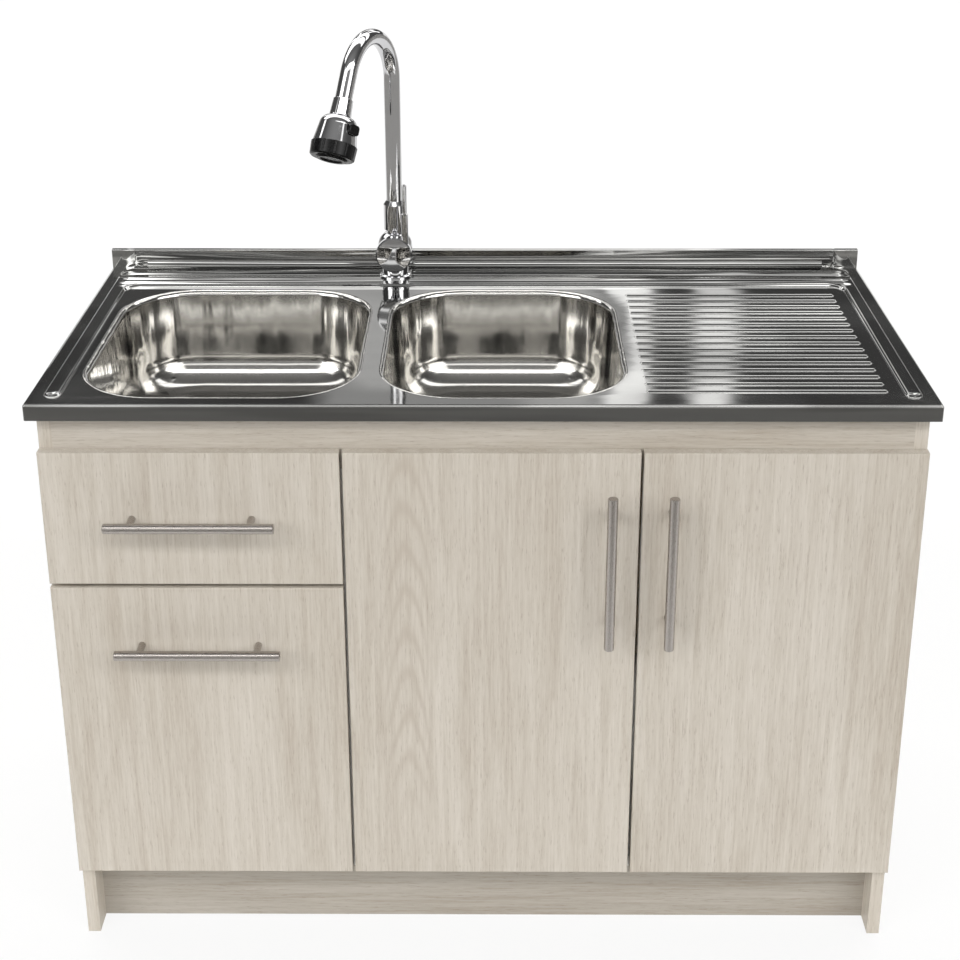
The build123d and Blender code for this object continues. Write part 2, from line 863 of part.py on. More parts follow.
def hinge_cups(edge_x, inward):
    x = cup_center(edge_x, inward)
    y = face_y + front_thickness
    return Compound([Pos(x, y, z) * hinge_cup() for z in hinge_heights()])


def door_panel(x0, x1, edge_x, inward):
    """Door leaf with the two round pockets for its hinge cups."""
    panel = front_panel(x0, x1, front_bottom, front_top)
    x = cup_center(edge_x, inward)
    pocket = Rot(90, 0, 0) * Cylinder(
        cup_diameter / 2, cup_depth, align=(Align.CENTER, Align.CENTER, Align.MIN)
    )
    return panel - [Pos(x, face_y + front_thickness, z) * pocket for z in hinge_heights()]


def hinge_arm():
    """Cranked hinge arm on its mounting plate, on a side panel whose face is at x = 0."""
    y0 = arm_setback
    y1 = arm_setback + arm_length
    outline = Polyline(
        (plate_thickness, y1),
        (plate_thickness, y0 + 22),
        (plate_thickness + 6, y0 + 14),
        (plate_thickness + 10, y0),
        (plate_thickness + 22, y0),
        (plate_thickness + 20, y0 + 12),
        (plate_thickness + arm_height, y0 + 28),
        (plate_thickness + arm_height, y1 - 4),
        (plate_thickness + arm_height - 4, y1),
        close=True,
    )
    arm = extrude(make_face(outline), arm_width / 2, both=True)
    screw_place = Pos(plate_thickness + arm_height, plate_setback + plate_depth / 2, 0)
    screw = screw_place * Rot(0, 90, 0) * Cylinder(4, 2)
    wing = RectangleRounded(plate_depth, plate_length, 5)
    side = Plane((0, plate_setback, 0), x_dir=(0, 1, 0), z_dir=(1, 0, 0))
    plate = extrude(side * wing, plate_thickness)
    return arm + plate + screw


def hinge_arms():
    arms = []
    for z in hinge_heights():
        arms.append(Pos(divider_right, front_y, z) * hinge_arm())
        arms.append(Pos(inner_half, front_y, z) * mirror(hinge_arm(), Plane.YZ))
    return Compound(arms)


# ================================================================ tap
def at_tap(shape):
    return Pos(tap_x, tap_axis_y, ledge_z) * shape


def tap_base():
    """Foot, round body, cartridge housing and the spigot that the spout turns on."""
    r = ball_diameter / 2
    foot = turned(
        [
            (0, 0),
            (flange_diameter_tap / 2, 0),
            (flange_diameter_tap / 2, flange_height_tap - 1),
            (flange_diameter_tap / 2 - 1, flange_height_tap),
            (neck_diameter / 2, flange_height_tap + 1),
            (neck_diameter / 2, ball_height),
            (0, ball_height),
        ]
    )
    ball = Pos(0, 0, ball_height) * Sphere(r)
    flat = Pos(0, 0, sleeve_bottom - 0.3) * Box(60, 60, 20, align=(Align.CENTER, Align.CENTER, Align.MIN))
    spigot = Cylinder(spigot_diameter / 2, spigot_height, align=(Align.CENTER, Align.CENTER, Align.MIN))
    housing = Pos(0, 0, cap_height) * Rot(90, 0, 0) * Cylinder(
        housing_diameter / 2, housing_front, align=(Align.CENTER, Align.CENTER, Align.MIN)
    )
    return at_tap((foot + ball - flat) + spigot + housing)


def mixer_stem():
    """Cartridge stem that the handle turns with, round-ended about the point it tips on."""
    start = housing_front + stem_gap - tip_pivot
    stem = Pos(0, 0, start) * Cylinder(
        stem_diameter / 2, stem_reach - start, align=(Align.CENTER, Align.CENTER, Align.MIN)
    )
    stem &= Sphere(stem_reach)
    return at_tap(Pos(0, -tip_pivot, cap_height) * Rot(90, 0, 0) * stem)


def mixer_cap():
    """Domed cap of the mixer handle, facing the user and hollowed round the stem."""
    r = cap_diameter / 2
    t = cap_thickness
    rim = Polyline((0, 0), (r - 1, 0), (r, 1), (r, t - 2), (r - 2, t))
    dome = RadiusArc((r - 2, t), (0, t + cap_dome), -((r - 2) ** 2 + cap_dome**2) / (2 * cap_dome))
    outline = make_face(Plane.XZ * (rim + dome + Line((0, t + cap_dome), (0, 0))))
    cap = revolve(outline, Axis.Z)
    recess = Pos(0, 0, tip_pivot - cap_back) * Sphere(stem_reach + stem_gap)
    return at_tap(Pos(0, -cap_back, cap_height) * Rot(90, 0, 0) * (cap - recess))


def mixer_lever():
    """Straight rod of the mixer handle, standing on the cap's rim."""
    seat = cap_height + math.sqrt((cap_diameter / 2) ** 2 - lever_offset**2) - 4
    r0 = lever_foot_diameter / 2
    r1 = lever_diameter / 2
    outline = [
        (0, seat),
        (r0, seat),
        (r0, lever_foot_top - 1.5),
        (r0 - 1.5, lever_foot_top),
        (r1, lever_foot_top),
        (r1, lever_top - 1.5),
        (r1 - 1.5, lever_top),
        (0, lever_top),
    ]
    rod = Pos(lever_offset, -cap_back - cap_thickness / 2, 0) * turned(outline)
    cap_body = Pos(0, -cap_back, cap_height) * Rot(90, 0, 0) * Cylinder(
        cap_diameter / 2, cap_thickness, align=(Align.CENTER, Align.CENTER, Align.MIN)
    )
    return at_tap(rod - cap_body)


def spout_path():
    """Centre line of the spout in its own plane: up, over and down to the tail's end."""
    sweep_end = 180 - arch_sweep
    rise = Line((0, sleeve_top), (0, arch_start))
    arch = CenterArc((arch_radius, arch_start), arch_radius, 180, -arch_sweep)
    end = arch @ 1
    lean = math.radians(sweep_end)
    tail_end = (end.X + spout_tail * math.sin(lean), end.Y - spout_tail * math.cos(lean))
    return rise + arch + Line((end.X, end.Y), tail_end)


def spout_plane():
    """Upright plane of the arch, turned to the left of straight ahead."""
    turn = math.radians(spout_turn)
    return Plane(
        (0, 0, 0),
        x_dir=(-math.sin(turn), -math.cos(turn), 0),
        z_dir=(-math.cos(turn), math.sin(turn), 0),
    )


def tail_location(distance):
    """Frame on the spout's tail, z along the water's way, that far from the arch's end."""
    sweep_end = math.radians(180 - arch_sweep)
    reach = arch_radius * (1 - math.cos(math.radians(arch_sweep))) + distance * math.sin(sweep_end)
    height = arch_start + arch_radius * math.sin(math.radians(arch_sweep)) - distance * math.cos(sweep_end)
    turn = math.radians(spout_turn)
    ahead = (-math.sin(turn), -math.cos(turn))
    origin = (ahead[0] * reach, ahead[1] * reach, height)
    z_dir = (ahead[0] * math.sin(sweep_end), ahead[1] * math.sin(sweep_end), -math.cos(sweep_end))
    x_dir = (-ahead[1], ahead[0], 0)
    return Plane(origin, x_dir=x_dir, z_dir=z_dir)


def spout_pipe():
    path = spout_plane() * spout_path()
    section = Plane((0, 0, sleeve_top)) * Circle(spout_diameter / 2)
    return at_tap(sweep(section, path=path))


def spout_sleeve():
    """Swivel sleeve that carries the spout on the body's spigot."""
    r = sleeve_diameter / 2
    outline = [
        (spigot_diameter / 2 + running_gap, sleeve_bottom),
        (r, sleeve_bottom),
        (r, sleeve_top - 6),
        (spout_diameter / 2 + 0.5, sleeve_top),
        (0, sleeve_top),
        (0, spigot_height + 1),
        (spigot_diameter / 2 + running_gap, spigot_height + 1),
    ]
    return at_tap(turned(outline))


def spout_collar():
    r0 = collar_top_diameter / 2
    r1 = collar_diameter / 2
    length = head_start - collar_start - 0.5
    tail_in = spout_tail - collar_start
    outline = [
        (spout_diameter / 2, 0),
        (r0 - 1, 0),
        (r0, 1),
        (r1, length - 1.5),
        (r1 - 1.5, length),
        (0, length),
        (0, tail_in),
        (spout_diameter / 2, tail_in),
    ]
    return at_tap(tail_location(collar_start) * turned(outline))


def head_outline():
    length = head_end - head_start
    r0 = collar_diameter / 2 + 1
    r1 = head_shoulder_diameter / 2
    r2 = head_diameter / 2
    shoulder = Spline((r0, 0), (r1 - 3, 5), (r1, 13), tangents=((1, 0.15), (0.1, 1)))
    side = Line((r1, 13), (r2, length))
    base = Polyline((r2, length), (0, length), (0, 0), (r0, 0))
    return make_face(Plane.XZ * (shoulder + side + base))


def button_plane():
    """Plane of the diverter button on the side of the spray head."""
    turn = math.radians(button_turn)
    z_mid = (head_end - head_start) * 0.47
    radius = head_shoulder_diameter / 2 - 2
    direction = (math.cos(turn), math.sin(turn), 0)
    return Plane((direction[0] * radius, direction[1] * radius, z_mid), x_dir=(0, 0, 1), z_dir=direction)


def spray_head():
    """Flared head with the pocket for its diverter button."""
    body = revolve(head_outline(), Axis.Z)
    gap = button_clearance
    pocket = RectangleRounded(button_height + 2 * gap, button_width + 2 * gap, 5)
    body -= extrude(button_plane() * pocket, 20)
    return at_tap(tail_location(head_start) * body)


def diverter_button():
    cap = RectangleRounded(button_height, button_width, 5 - button_clearance)
    plane = button_plane()
    body = extrude(plane.offset(2.7) * cap, 2 + button_stand)
    outer = body.faces().sort_by(lambda f: (f.center() - plane.origin).dot(plane.z_dir))[-1]
    body = fillet(outer.edges(), 1.2)
    return at_tap(tail_location(head_start) * body)


def spray_ring():
    """Fluted grip ring round the outlet."""
    r = ring_diameter / 2
    h = ring_height
    n = nozzle_diameter / 2 + 0.3
    outline = [
        (n, 0),
        (r - 1, 0),
        (r, 1),
        (r - 1, h - 2),
        (r - 3, h),
        (n, h),
    ]
    ring = turned(outline)
    flute = Pos(0, 0, h / 2) * Cylinder(flute_depth * 1.6, 2 * h)
    ring -= [loc * flute for loc in PolarLocations(r + flute_depth * 0.8, ring_flutes)]
    return at_tap(tail_location(head_end) * ring)


def nozzle():
    """Outlet face with its ring of jets, proud of the grip ring."""
    r = nozzle_diameter / 2
    h = ring_height + nozzle_step
    outline = [
        (0, 0),
        (r, 0),
        (r, h - 2),
        (r - 2, h),
        (r - 6, h),
        (r - 7, h - nozzle_wall),
        (0, h - nozzle_wall),
    ]
    face = turned(outline)
    jet = Pos(0, 0, h) * Cylinder(1.2, 6)
    holes = [loc * jet for loc in PolarLocations(r - 11, 12)]
    holes += [loc * jet for loc in PolarLocations(r - 17, 6)]
    return at_tap(tail_location(head_end) * (face - holes))


def tap_shank():
    """Threaded shank below the ledge, bored for the two supply hoses."""
    shank = Pos(0, 0, -shank_length) * Cylinder(
        shank_diameter / 2, shank_length, align=(Align.CENTER, Align.CENTER, Align.MIN)
    )
    bore = Pos(0, 0, -shank_length - 1) * Cylinder(
        shank_diameter / 2 - 3, shank_length - 3, align=(Align.CENTER, Align.CENTER, Align.MIN)
    )
    return at_tap(shank - bore)


def tap_washer():
    low = -emboss_height - washer_thickness - 0.3
    top = low + washer_thickness + emboss_height - sheet
    return at_tap(tube(washer_diameter, shank_diameter + 0.6, low, top))


def tap_nut():
    top = -emboss_height - washer_thickness - 0.3
    body = extrude(RegularPolygon(tap_nut_width / 2, 6, major_radius=False), tap_nut_height)
    body -= Cylinder(shank_diameter / 2 + 0.1, 3 * tap_nut_height)
    return at_tap(Pos(0, 0, top - tap_nut_height) * body)


# ================================================================ the whole unit
def build_parts():
    handle_x = (-half_width + drawer_front_right) / 2
    top_handle_z = front_top - drawer_bar_drop
    low_handle_z = low_front_top - drawer_bar_drop + 8
    middle_handle_x = middle_door_right - door_bar_inset
    right_handle_x = right_door_left + door_bar_inset + 1
    return {
        "left_gable": gable(-1),
        "right_gable": gable(1),
        "divider": divider(),
        "base_panel": base_panel(),
        "front_rail": front_rail(),
        "rear_rail": rear_rail(),
        "plinth": plinth(),
        "back_panel": back_panel(),
        "runner_channels": fixed_runners(),
        "hinge_arms": hinge_arms(),
        "sink_top": sink_top(),
        "left_bowl": bowl(left_bowl_x, left_bowl_width),
        "right_bowl": bowl(right_bowl_x, right_bowl_width),
        "left_waste_flange": bowl_waste(left_bowl_x, waste_flange()),
        "right_waste_flange": bowl_waste(right_bowl_x, waste_flange()),
        "left_waste_body": bowl_waste(left_bowl_x, waste_body()),
        "right_waste_body": bowl_waste(right_bowl_x, waste_body()),
        "left_basket": bowl_waste(left_bowl_x, basket()),
        "right_basket": bowl_waste(right_bowl_x, basket()),
        "drain_pipe": drain_pipe(),
        "trap_inlet": trap_inlet(),
        "trap_body": trap_body(),
        "trap_cup": trap_cup(),
        "trap_outlet": trap_outlet(),
        "top_drawer_front": front_panel(-half_width, drawer_front_right, top_front_bottom, front_top),
        "top_drawer_handle": drawer_handle(handle_x, top_handle_z),
        "top_drawer_sides": box_sides(top_box_bottom, top_box_height),
        "top_drawer_backs": top_drawer_backs(),
        "top_drawer_notch_panels": top_drawer_notch_panels(),
        "top_drawer_base": top_drawer_base(),
        "top_drawer_runners": drawer_runners(0),
        "bottom_drawer_front": front_panel(-half_width, drawer_front_right, front_bottom, low_front_top),
        "bottom_drawer_handle": drawer_handle(handle_x, low_handle_z),
        "bottom_drawer_sides": box_sides(low_box_bottom, low_box_height),
        "bottom_drawer_back": low_drawer_back(),
        "bottom_drawer_base": drawer_base(low_box_bottom),
        "bottom_drawer_runners": drawer_runners(1),
        "middle_door": door_panel(middle_door_left, middle_door_right, middle_door_left, 1),
        "middle_door_handle": door_handle(middle_handle_x),
        "middle_door_hinge_cups": hinge_cups(middle_door_left, 1),
        "right_door": door_panel(right_door_left, half_width, half_width, -1),
        "right_door_handle": door_handle(right_handle_x),
        "right_door_hinge_cups": hinge_cups(half_width, -1),
        "tap_base": tap_base(),
        "tap_shank": tap_shank(),
        "tap_washer": tap_washer(),
        "tap_nut": tap_nut(),
        "mixer_stem": mixer_stem(),
        "mixer_cap": mixer_cap(),
        "mixer_lever": mixer_lever(),
        "spout_sleeve": spout_sleeve(),
        "spout_pipe": spout_pipe(),
        "spout_collar": spout_collar(),
        "spray_head": spray_head(),
        "diverter_button": diverter_button(),
        "spray_ring": spray_ring(),
        "spray_nozzle": nozzle(),
    }


os.makedirs("parts", exist_ok=True)
for name, shape in build_parts().items():
    export_step(shape, f"parts/{name}.step")
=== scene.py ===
import math

import bmesh
import bpy
from bpy.props import FloatProperty, FloatVectorProperty, IntProperty, PointerProperty
from mathutils import Matrix, Vector


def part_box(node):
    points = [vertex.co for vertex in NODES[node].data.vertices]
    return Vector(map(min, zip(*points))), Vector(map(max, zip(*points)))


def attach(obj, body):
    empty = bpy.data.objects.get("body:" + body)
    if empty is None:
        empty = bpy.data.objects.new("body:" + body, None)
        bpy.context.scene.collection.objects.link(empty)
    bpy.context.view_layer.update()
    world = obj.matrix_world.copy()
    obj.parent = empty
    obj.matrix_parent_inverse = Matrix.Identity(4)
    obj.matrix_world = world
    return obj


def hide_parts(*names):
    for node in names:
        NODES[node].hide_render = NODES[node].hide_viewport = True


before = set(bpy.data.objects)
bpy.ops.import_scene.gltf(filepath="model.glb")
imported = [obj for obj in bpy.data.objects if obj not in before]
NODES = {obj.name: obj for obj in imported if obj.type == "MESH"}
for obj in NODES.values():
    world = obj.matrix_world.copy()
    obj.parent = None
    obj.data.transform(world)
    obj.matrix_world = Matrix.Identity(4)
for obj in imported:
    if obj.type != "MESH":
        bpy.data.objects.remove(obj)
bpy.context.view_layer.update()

bl_info = {
    "name": "Kitchen Sink Unit",
    "version": (1, 0, 0),
    "blender": (4, 5, 0),
    "location": "3D Viewport > Sidebar > Sink Unit",
    "description": "Kitchen sink unit: laminate boards, pressed steel sink, mixer tap and studio",
    "category": "Object",
}

MM = 0.001
SINK_LOW, SINK_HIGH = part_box("sink_top")
LEFT_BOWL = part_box("left_bowl")
RIGHT_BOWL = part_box("right_bowl")
UPSTAND = 29 * MM
UPSTAND_THICKNESS = 10 * MM
DECK_Z = SINK_HIGH.z - UPSTAND


def tone(red, green, blue):
    """A colour given as it looks on screen, 0 to 255, as Blender's linear values."""
    return tuple(
        c / 12.92 if c <= 0.04045 else ((c + 0.055) / 1.055) ** 2.4
        for c in (red / 255, green / 255, blue / 255)
    )


# ---------------------------------------------------------------- settings
def colour(name, text, value):
    return FloatVectorProperty(name=name, description=text, subtype="COLOR", size=3, min=0, max=1,
                               default=value)


def length(name, text, millimetres):
    return FloatProperty(name=name, description=text, unit="LENGTH", subtype="DISTANCE", min=0,
                         default=millimetres * MM)


def factor(name, text, value):
    return FloatProperty(name=name, description=text, subtype="FACTOR", min=0, max=1, default=value)


def lamp_power(name, text, value):
    return FloatProperty(name=name, description=text, min=0, max=10, default=value)


class LaminateSettings(bpy.types.PropertyGroup):
    oak_mid: colour("Oak", "Main tone of the whitewashed oak", tone(203, 195, 183))
    oak_dark: colour("Oak streaks", "Tone of the darker growth streaks", tone(186, 175, 161))
    oak_light: colour("Oak light", "Tone of the limed streaks", tone(218, 211, 201))
    oak_pore: colour("Oak pores", "Tone of the short pores", tone(158, 144, 128))
    board_white: colour("Board", "Melamine of the inside boards", tone(232, 231, 227))
    hardboard: colour("Hardboard", "Back panel and drawer bottoms", tone(196, 178, 152))


class SteelSettings(bpy.types.PropertyGroup):
    deck: colour("Deck steel", "Polished sheet of the deck and its edges", (0.50, 0.50, 0.49))
    bowl: colour("Bowl steel", "Polished sheet of the bowls", (0.57, 0.56, 0.537))
    handle: colour("Handle steel", "Brushed bars", tone(184, 178, 173))
    chrome: colour("Chrome", "Plating of the tap", (0.62, 0.62, 0.63))
    roughness: factor("Polish", "Roughness of the polished sheet", 0.045)


class SinkSettings(bpy.types.PropertyGroup):
    sheet: length("Sheet", "Thickness of the pressed sheet", 1.0)
    edge_round: length("Edge round", "Radius between the deck and its skirt", 2.5)
    skirt: length("Skirt", "Height of the folded edge", 22)
    frame_inset: length("Frame inset", "From the sink's ends to the raised frame", 19)
    frame_width: length("Bead width", "Width of the side beads", 25)
    frame_front: length("Bead start", "From the front edge to the beads' round ends", 27)
    frame_corner: length("Frame corner", "Radius of the frame's back corners", 38)
    cove: length("Cove", "Radius of the rounding at the upstand's foot", 9)
    frame_height: length("Emboss", "Height of the raised frame", 4)
    ledge_start: length("Ledge start", "From the front edge to the tap ledge", 489)
    mouth_corner: length("Bowl corner", "Corner radius of the bowl mouths", 110)
    bowl_depth: length("Bowl depth", "Depth below the deck", 150)
    lip_round: length("Bowl lip", "Radius of the bowls' rolled lip", 8)
    floor_round: length("Floor round", "Radius between the bowls' walls and floor", 52)
    drain_hole: length("Drain hole", "Diameter of the hole in a bowl's floor", 86)
    rib_pitch: length("Rib pitch", "Distance between the drainer ribs", 26.4)
    rib_width: length("Rib width", "Width of a rib at its foot", 11)
    rib_height: length("Rib height", "Height of a rib", 3)
    rib_length: length("Rib length", "Length of a rib", 323)
    rib_first: length("First rib", "From the front edge to the first rib", 50.2)
    rib_left: length("Rib start", "From the sink's left end to the ribs", 815.5)
    rib_count: IntProperty(name="Ribs", description="Number of drainer ribs", min=1, max=40, default=16)


class StageSettings(bpy.types.PropertyGroup):
    floor: colour("Floor", "Pale sweep under and behind the unit", tone(236, 236, 235))
    surround: colour("Surround", "Floor of the room outside the sweep", tone(140, 139, 137))
    whiteness: factor("Whiteness", "How much of the sweep is seen as plain white", 0.86)
    lens: FloatProperty(name="Lens", description="Focal length in mm for a 36 mm wide frame", min=20, max=200,
                        default=65.39)
    key: lamp_power("Key", "Strength of the soft lamp at the front left", 0.57)
    fill: lamp_power("Fill", "Strength of the soft lamp at the front right", 0.52)
    room: lamp_power("Room", "Strength of the studio around the unit", 0.84)


# ---------------------------------------------------------------- shader nodes
class Value:
    """A shader socket in Python arithmetic: each operator adds the Math node it needs."""

    def __init__(self, nodes, socket):
        self.nodes = nodes
        self.socket = socket

    def __add__(self, other):
        return self.nodes.math("ADD", self, other)

    def __radd__(self, other):
        return self.nodes.math("ADD", other, self)

    def __sub__(self, other):
        return self.nodes.math("SUBTRACT", self, other)

    def __rsub__(self, other):
        return self.nodes.math("SUBTRACT", other, self)

    def __mul__(self, other):
        return self.nodes.math("MULTIPLY", self, other)

    def __rmul__(self, other):
        return self.nodes.math("MULTIPLY", other, self)

    def __truediv__(self, other):
        return self.nodes.math("DIVIDE", self, other)

    def __pow__(self, other):
        return self.nodes.math("POWER", self, other)

    def __abs__(self):
        return self.nodes.math("ABSOLUTE", self)


class Nodes:
    """The node tree of one material or world, and the ways it is filled."""

    def __init__(self, owner):
        owner.use_nodes = True
        self.tree = owner.node_tree
        self.tree.nodes.clear()

    def add(self, kind, settings=None, **inputs):
        """Adds a node: its settings first, then the values or links of its sockets."""
        node = self.tree.nodes.new(kind)
        for key, setting in (settings or {}).items():
            if key == "stops":
                self.fill_ramp(node.color_ramp, setting)
            else:
                setattr(node, key, setting)
        for key, given in inputs.items():
            socket = node.inputs[int(key[1:]) if key[0] == "_" else key.replace("_", " ")]
            if isinstance(given, Value):
                self.tree.links.new(given.socket, socket)
            else:
                socket.default_value = given
        return node

    def value(self, kind, settings=None, output=0, **inputs):
        return Value(self, self.add(kind, settings, **inputs).outputs[output])

    @staticmethod
    def fill_ramp(ramp, stops):
        while len(ramp.elements) < len(stops):
            ramp.elements.new(1.0)
        for element, (place, shade) in zip(ramp.elements, stops):
            element.position = place
            element.color = (*shade, 1.0)

    def math(self, operation, *terms):
        inputs = {f"_{i}": term for i, term in enumerate(terms)}
        return self.value("ShaderNodeMath", {"operation": operation}, **inputs)

    def smooth(self, amount, low, high):
        """0 below low, 1 above high, and a soft step between."""
        return self.value("ShaderNodeMapRange", {"interpolation_type": "SMOOTHSTEP"},
                          Value=amount, From_Min=low, From_Max=high)

    def mix(self, amount, first, second, blend="MIX"):
        """Mixes two colours."""
        first = first if isinstance(first, Value) else (*first, 1.0)
        second = second if isinstance(second, Value) else (*second, 1.0)
        return self.value("ShaderNodeMix", {"data_type": "RGBA", "blend_type": blend}, 2,
                          _0=amount, _6=first, _7=second)

    def ramp(self, amount, stops):
        return self.value("ShaderNodeValToRGB", {"stops": stops}, Fac=amount)

    def dot(self, vector, axis):
        """How far a vector reaches along a fixed axis."""
        return self.value("ShaderNodeVectorMath", {"operation": "DOT_PRODUCT"}, 1,
                          _0=vector, _1=tuple(axis))

    def place(self):
        """The place on the piece."""
        return self.value("ShaderNodeTexCoord", None, "Object")

    def axes(self, vector):
        """The X, Y and Z parts of a vector."""
        parts = self.add("ShaderNodeSeparateXYZ", None, Vector=vector)
        return [Value(self, output) for output in parts.outputs]

    def stretched(self, scale, shift=(0.0, 0.0, 0.0)):
        """The place on the piece, shifted and scaled along each axis."""
        return self.value("ShaderNodeMapping", {"vector_type": "POINT"}, Vector=self.place(),
                          Location=shift, Scale=scale)

    def noise(self, vector, detail=2.0, roughness=0.5, distortion=0.0, scale=1.0):
        return self.value("ShaderNodeTexNoise", None, Vector=vector, Scale=scale, Detail=detail,
                          Roughness=roughness, Distortion=distortion)

    def bump(self, height, distance, strength=1.0):
        return self.value("ShaderNodeBump", None, Height=height, Distance=distance, Strength=strength)

    def finish(self, base, roughness, normal=None, metal=0.0, **uniform):
        """The surface shader and the output."""
        inputs = {"Base_Color": base if isinstance(base, Value) else (*base, 1.0), "Roughness": roughness,
                  "Metallic": metal}
        if normal is not None:
            inputs["Normal"] = normal
        surface = self.value("ShaderNodeBsdfPrincipled", None, **inputs, **uniform)
        self.add("ShaderNodeOutputMaterial", None, Surface=surface)


# ---------------------------------------------------------------- finishes
ALONG = {"X": 0, "Y": 1, "Z": 2}


def grain_scale(along, across_scale, along_scale):
    """Pattern scale with its own value along the grain's axis."""
    scale = [across_scale] * 3
    scale[ALONG[along]] = along_scale
    return tuple(scale)


def oak(name, settings, along="Z", shift=0.0, arches=None, shade=1.0):
    """Whitewashed oak laminate: wide limed streaks, fine fibres, short pores and soft arches."""
    made = bpy.data.materials.new(name)
    n = Nodes(made)
    offset = (shift, shift * 0.37, shift * 0.71)
    drift = n.noise(n.stretched(grain_scale(along, 9.0, 1.4), offset), 3.0)
    warp = n.noise(n.stretched(grain_scale(along, 14.0, 2.2), offset), 3.0)
    streak = n.noise(n.stretched(grain_scale(along, 60.0, 2.4), offset), 4.0, 0.6, 0.5)
    fibre = n.noise(n.stretched(grain_scale(along, 330.0, 11.0), offset), 3.0, 0.62, 0.2)
    tick = n.noise(n.stretched(grain_scale(along, 520.0, 38.0), offset), 2.0, 0.55)
    pore = n.noise(n.stretched(grain_scale(along, 900.0, 70.0), offset), 2.0, 0.5)
    amount = streak * 0.34 + drift * 0.22 + fibre * 0.26 + tick * 0.18
    base = n.ramp(amount, [
        (0.36, settings.oak_dark),
        (0.48, settings.oak_mid),
        (0.55, [0.5 * (a + b) for a, b in zip(settings.oak_mid, settings.oak_light)]),
        (0.63, settings.oak_light),
    ])
    pores = n.smooth(pore, 0.58, 0.68) * n.smooth(fibre, 0.62, 0.42)
    base = n.mix(pores * 0.45, base, settings.oak_pore)
    if arches:
        base = add_arches(n, base, settings, arches, warp)
    # Painted shade: shade darkens the whole board by one factor, given board by board, deepest on the rail
    # under the sink and the recessed plinth.
    if shade != 1.0:
        base = n.mix(1.0, base, (shade, shade, shade), "MULTIPLY")
    height = fibre * 0.5 - pores * 0.8
    n.finish(base, 0.42 + fibre * 0.16, n.bump(height, 0.00012, 0.6), Specular_IOR_Level=0.42)
    return made


def add_arches(n, base, settings, arches, warp):
    """Faint nested arches of plain-sawn figure up the board, round a centre line."""
    spread = 40 * MM
    per_metre = 3.8
    turns = 26.0
    for x, z, strength in arches:
        side, _, rise = n.axes(n.place())
        across = (side - x) / spread
        up = (rise - z) * per_metre
        rings = (up + across * across * 0.5 + warp * 0.6) * turns
        line = n.math("SINE", rings) * 0.5 + 0.5
        near = n.smooth(abs(across + (warp - 0.5) * 1.5), 1.15, 0.25)
        ends = n.smooth(abs(up), 1.5, 0.8)
        base = n.mix(line ** 2.5 * near * ends * strength, base, settings.oak_dark)
    return base


def white_board(settings):
    """White melamine board with a fine orange peel."""
    made = bpy.data.materials.new("white_melamine")
    n = Nodes(made)
    orange_peel = n.noise(n.stretched((900.0, 900.0, 900.0)), 2.0)
    soil = n.noise(n.stretched((6.0, 6.0, 6.0)), 4.0, 0.6)
    base = n.mix(soil * 0.12, settings.board_white, tone(214, 211, 204))
    n.finish(base, 0.38 + soil * 0.1, n.bump(orange_peel, 0.00003, 0.5))
    return made


def hardboard(settings):
    """Pressed fibre sheet of the back and the drawer bottoms."""
    made = bpy.data.materials.new("hardboard_sheet")
    n = Nodes(made)
    felt = n.noise(n.stretched((700.0, 700.0, 700.0)), 4.0, 0.7)
    cloud = n.noise(n.stretched((9.0, 9.0, 9.0)), 3.0)
    base = n.ramp(felt * 0.7 + cloud * 0.3, [
        (0.3, tone(160, 139, 112)), (0.5, settings.hardboard), (0.7, tone(212, 197, 172))])
    n.finish(base, 0.72, n.bump(felt, 0.00015, 0.6))
    return made


def steel(name, base_colour, roughness, wipe="X", waviness=1.0, drawn=0.0, rolled=0.0):
    """Polished sheet with slow waves and wiping marks. drawn and rolled are heights in mm: of the lines
    that the press leaves down the bowls' walls, and of the long waves along the ledge and the upstand.
    A rolled sheet is also painted with light and shade: clouds of painted reflection over it, and painted
    shade on the skirt below the deck."""
    made = bpy.data.materials.new(name)
    n = Nodes(made)
    wave = n.noise(n.stretched((9.0, 9.0, 9.0)), 2.0, 0.5)
    wipes = n.noise(n.stretched(grain_scale(wipe, 110.0, 5.0)), 2.0, 0.6)
    smear = n.noise(n.stretched((26.0, 26.0, 26.0)), 4.0, 0.6)
    base = n.mix(n.smooth(smear, 0.4, 0.8) * 0.35, base_colour, tuple(c * 0.78 for c in base_colour))
    rough = roughness + wipes * (roughness * 0.7) + n.smooth(smear, 0.5, 0.8) * (roughness * 0.4)
    height = wave * (waviness * 0.0005)
    side, depth, rise = n.axes(n.place())
    if drawn:
        walls = n.smooth(rise, DECK_Z - 100 * MM, DECK_Z - 50 * MM)
        height = height + n.noise(n.stretched((34.0, 34.0, 2.0)), 2.0) * walls * (drawn * MM)
    if rolled:
        # Painted reflection: slow clouds darken the deck and the upstand to half the steel's colour, in broad
        # patches and level bands, in place of dark reflections.
        cloud = n.noise(n.stretched((2.6, 4.0, 40.0)), 2.0)
        base = n.mix(n.smooth(cloud, 0.44, 0.58) * 0.8, base, tuple(c * 0.5 for c in base_colour))
        # Painted shade: everything more than 4 mm below the deck, which is the folded skirt and the upstand's
        # foot, is darkened to 30 % of the steel's colour.
        fold = n.smooth(rise, DECK_Z - 2 * MM, DECK_Z - 4 * MM)
        base = n.mix(fold * 0.8, base, tuple(c * 0.3 for c in base_colour))
        behind = n.smooth(depth, 190 * MM, 240 * MM) * n.smooth(abs(side), 585 * MM, 560 * MM)
        height = height + n.noise(n.stretched((0.8, 32.0, 32.0)), 1.0) * behind * (rolled * MM)
    n.finish(base, rough, n.bump(height, 1.0, 1.0), 1.0)
    return made


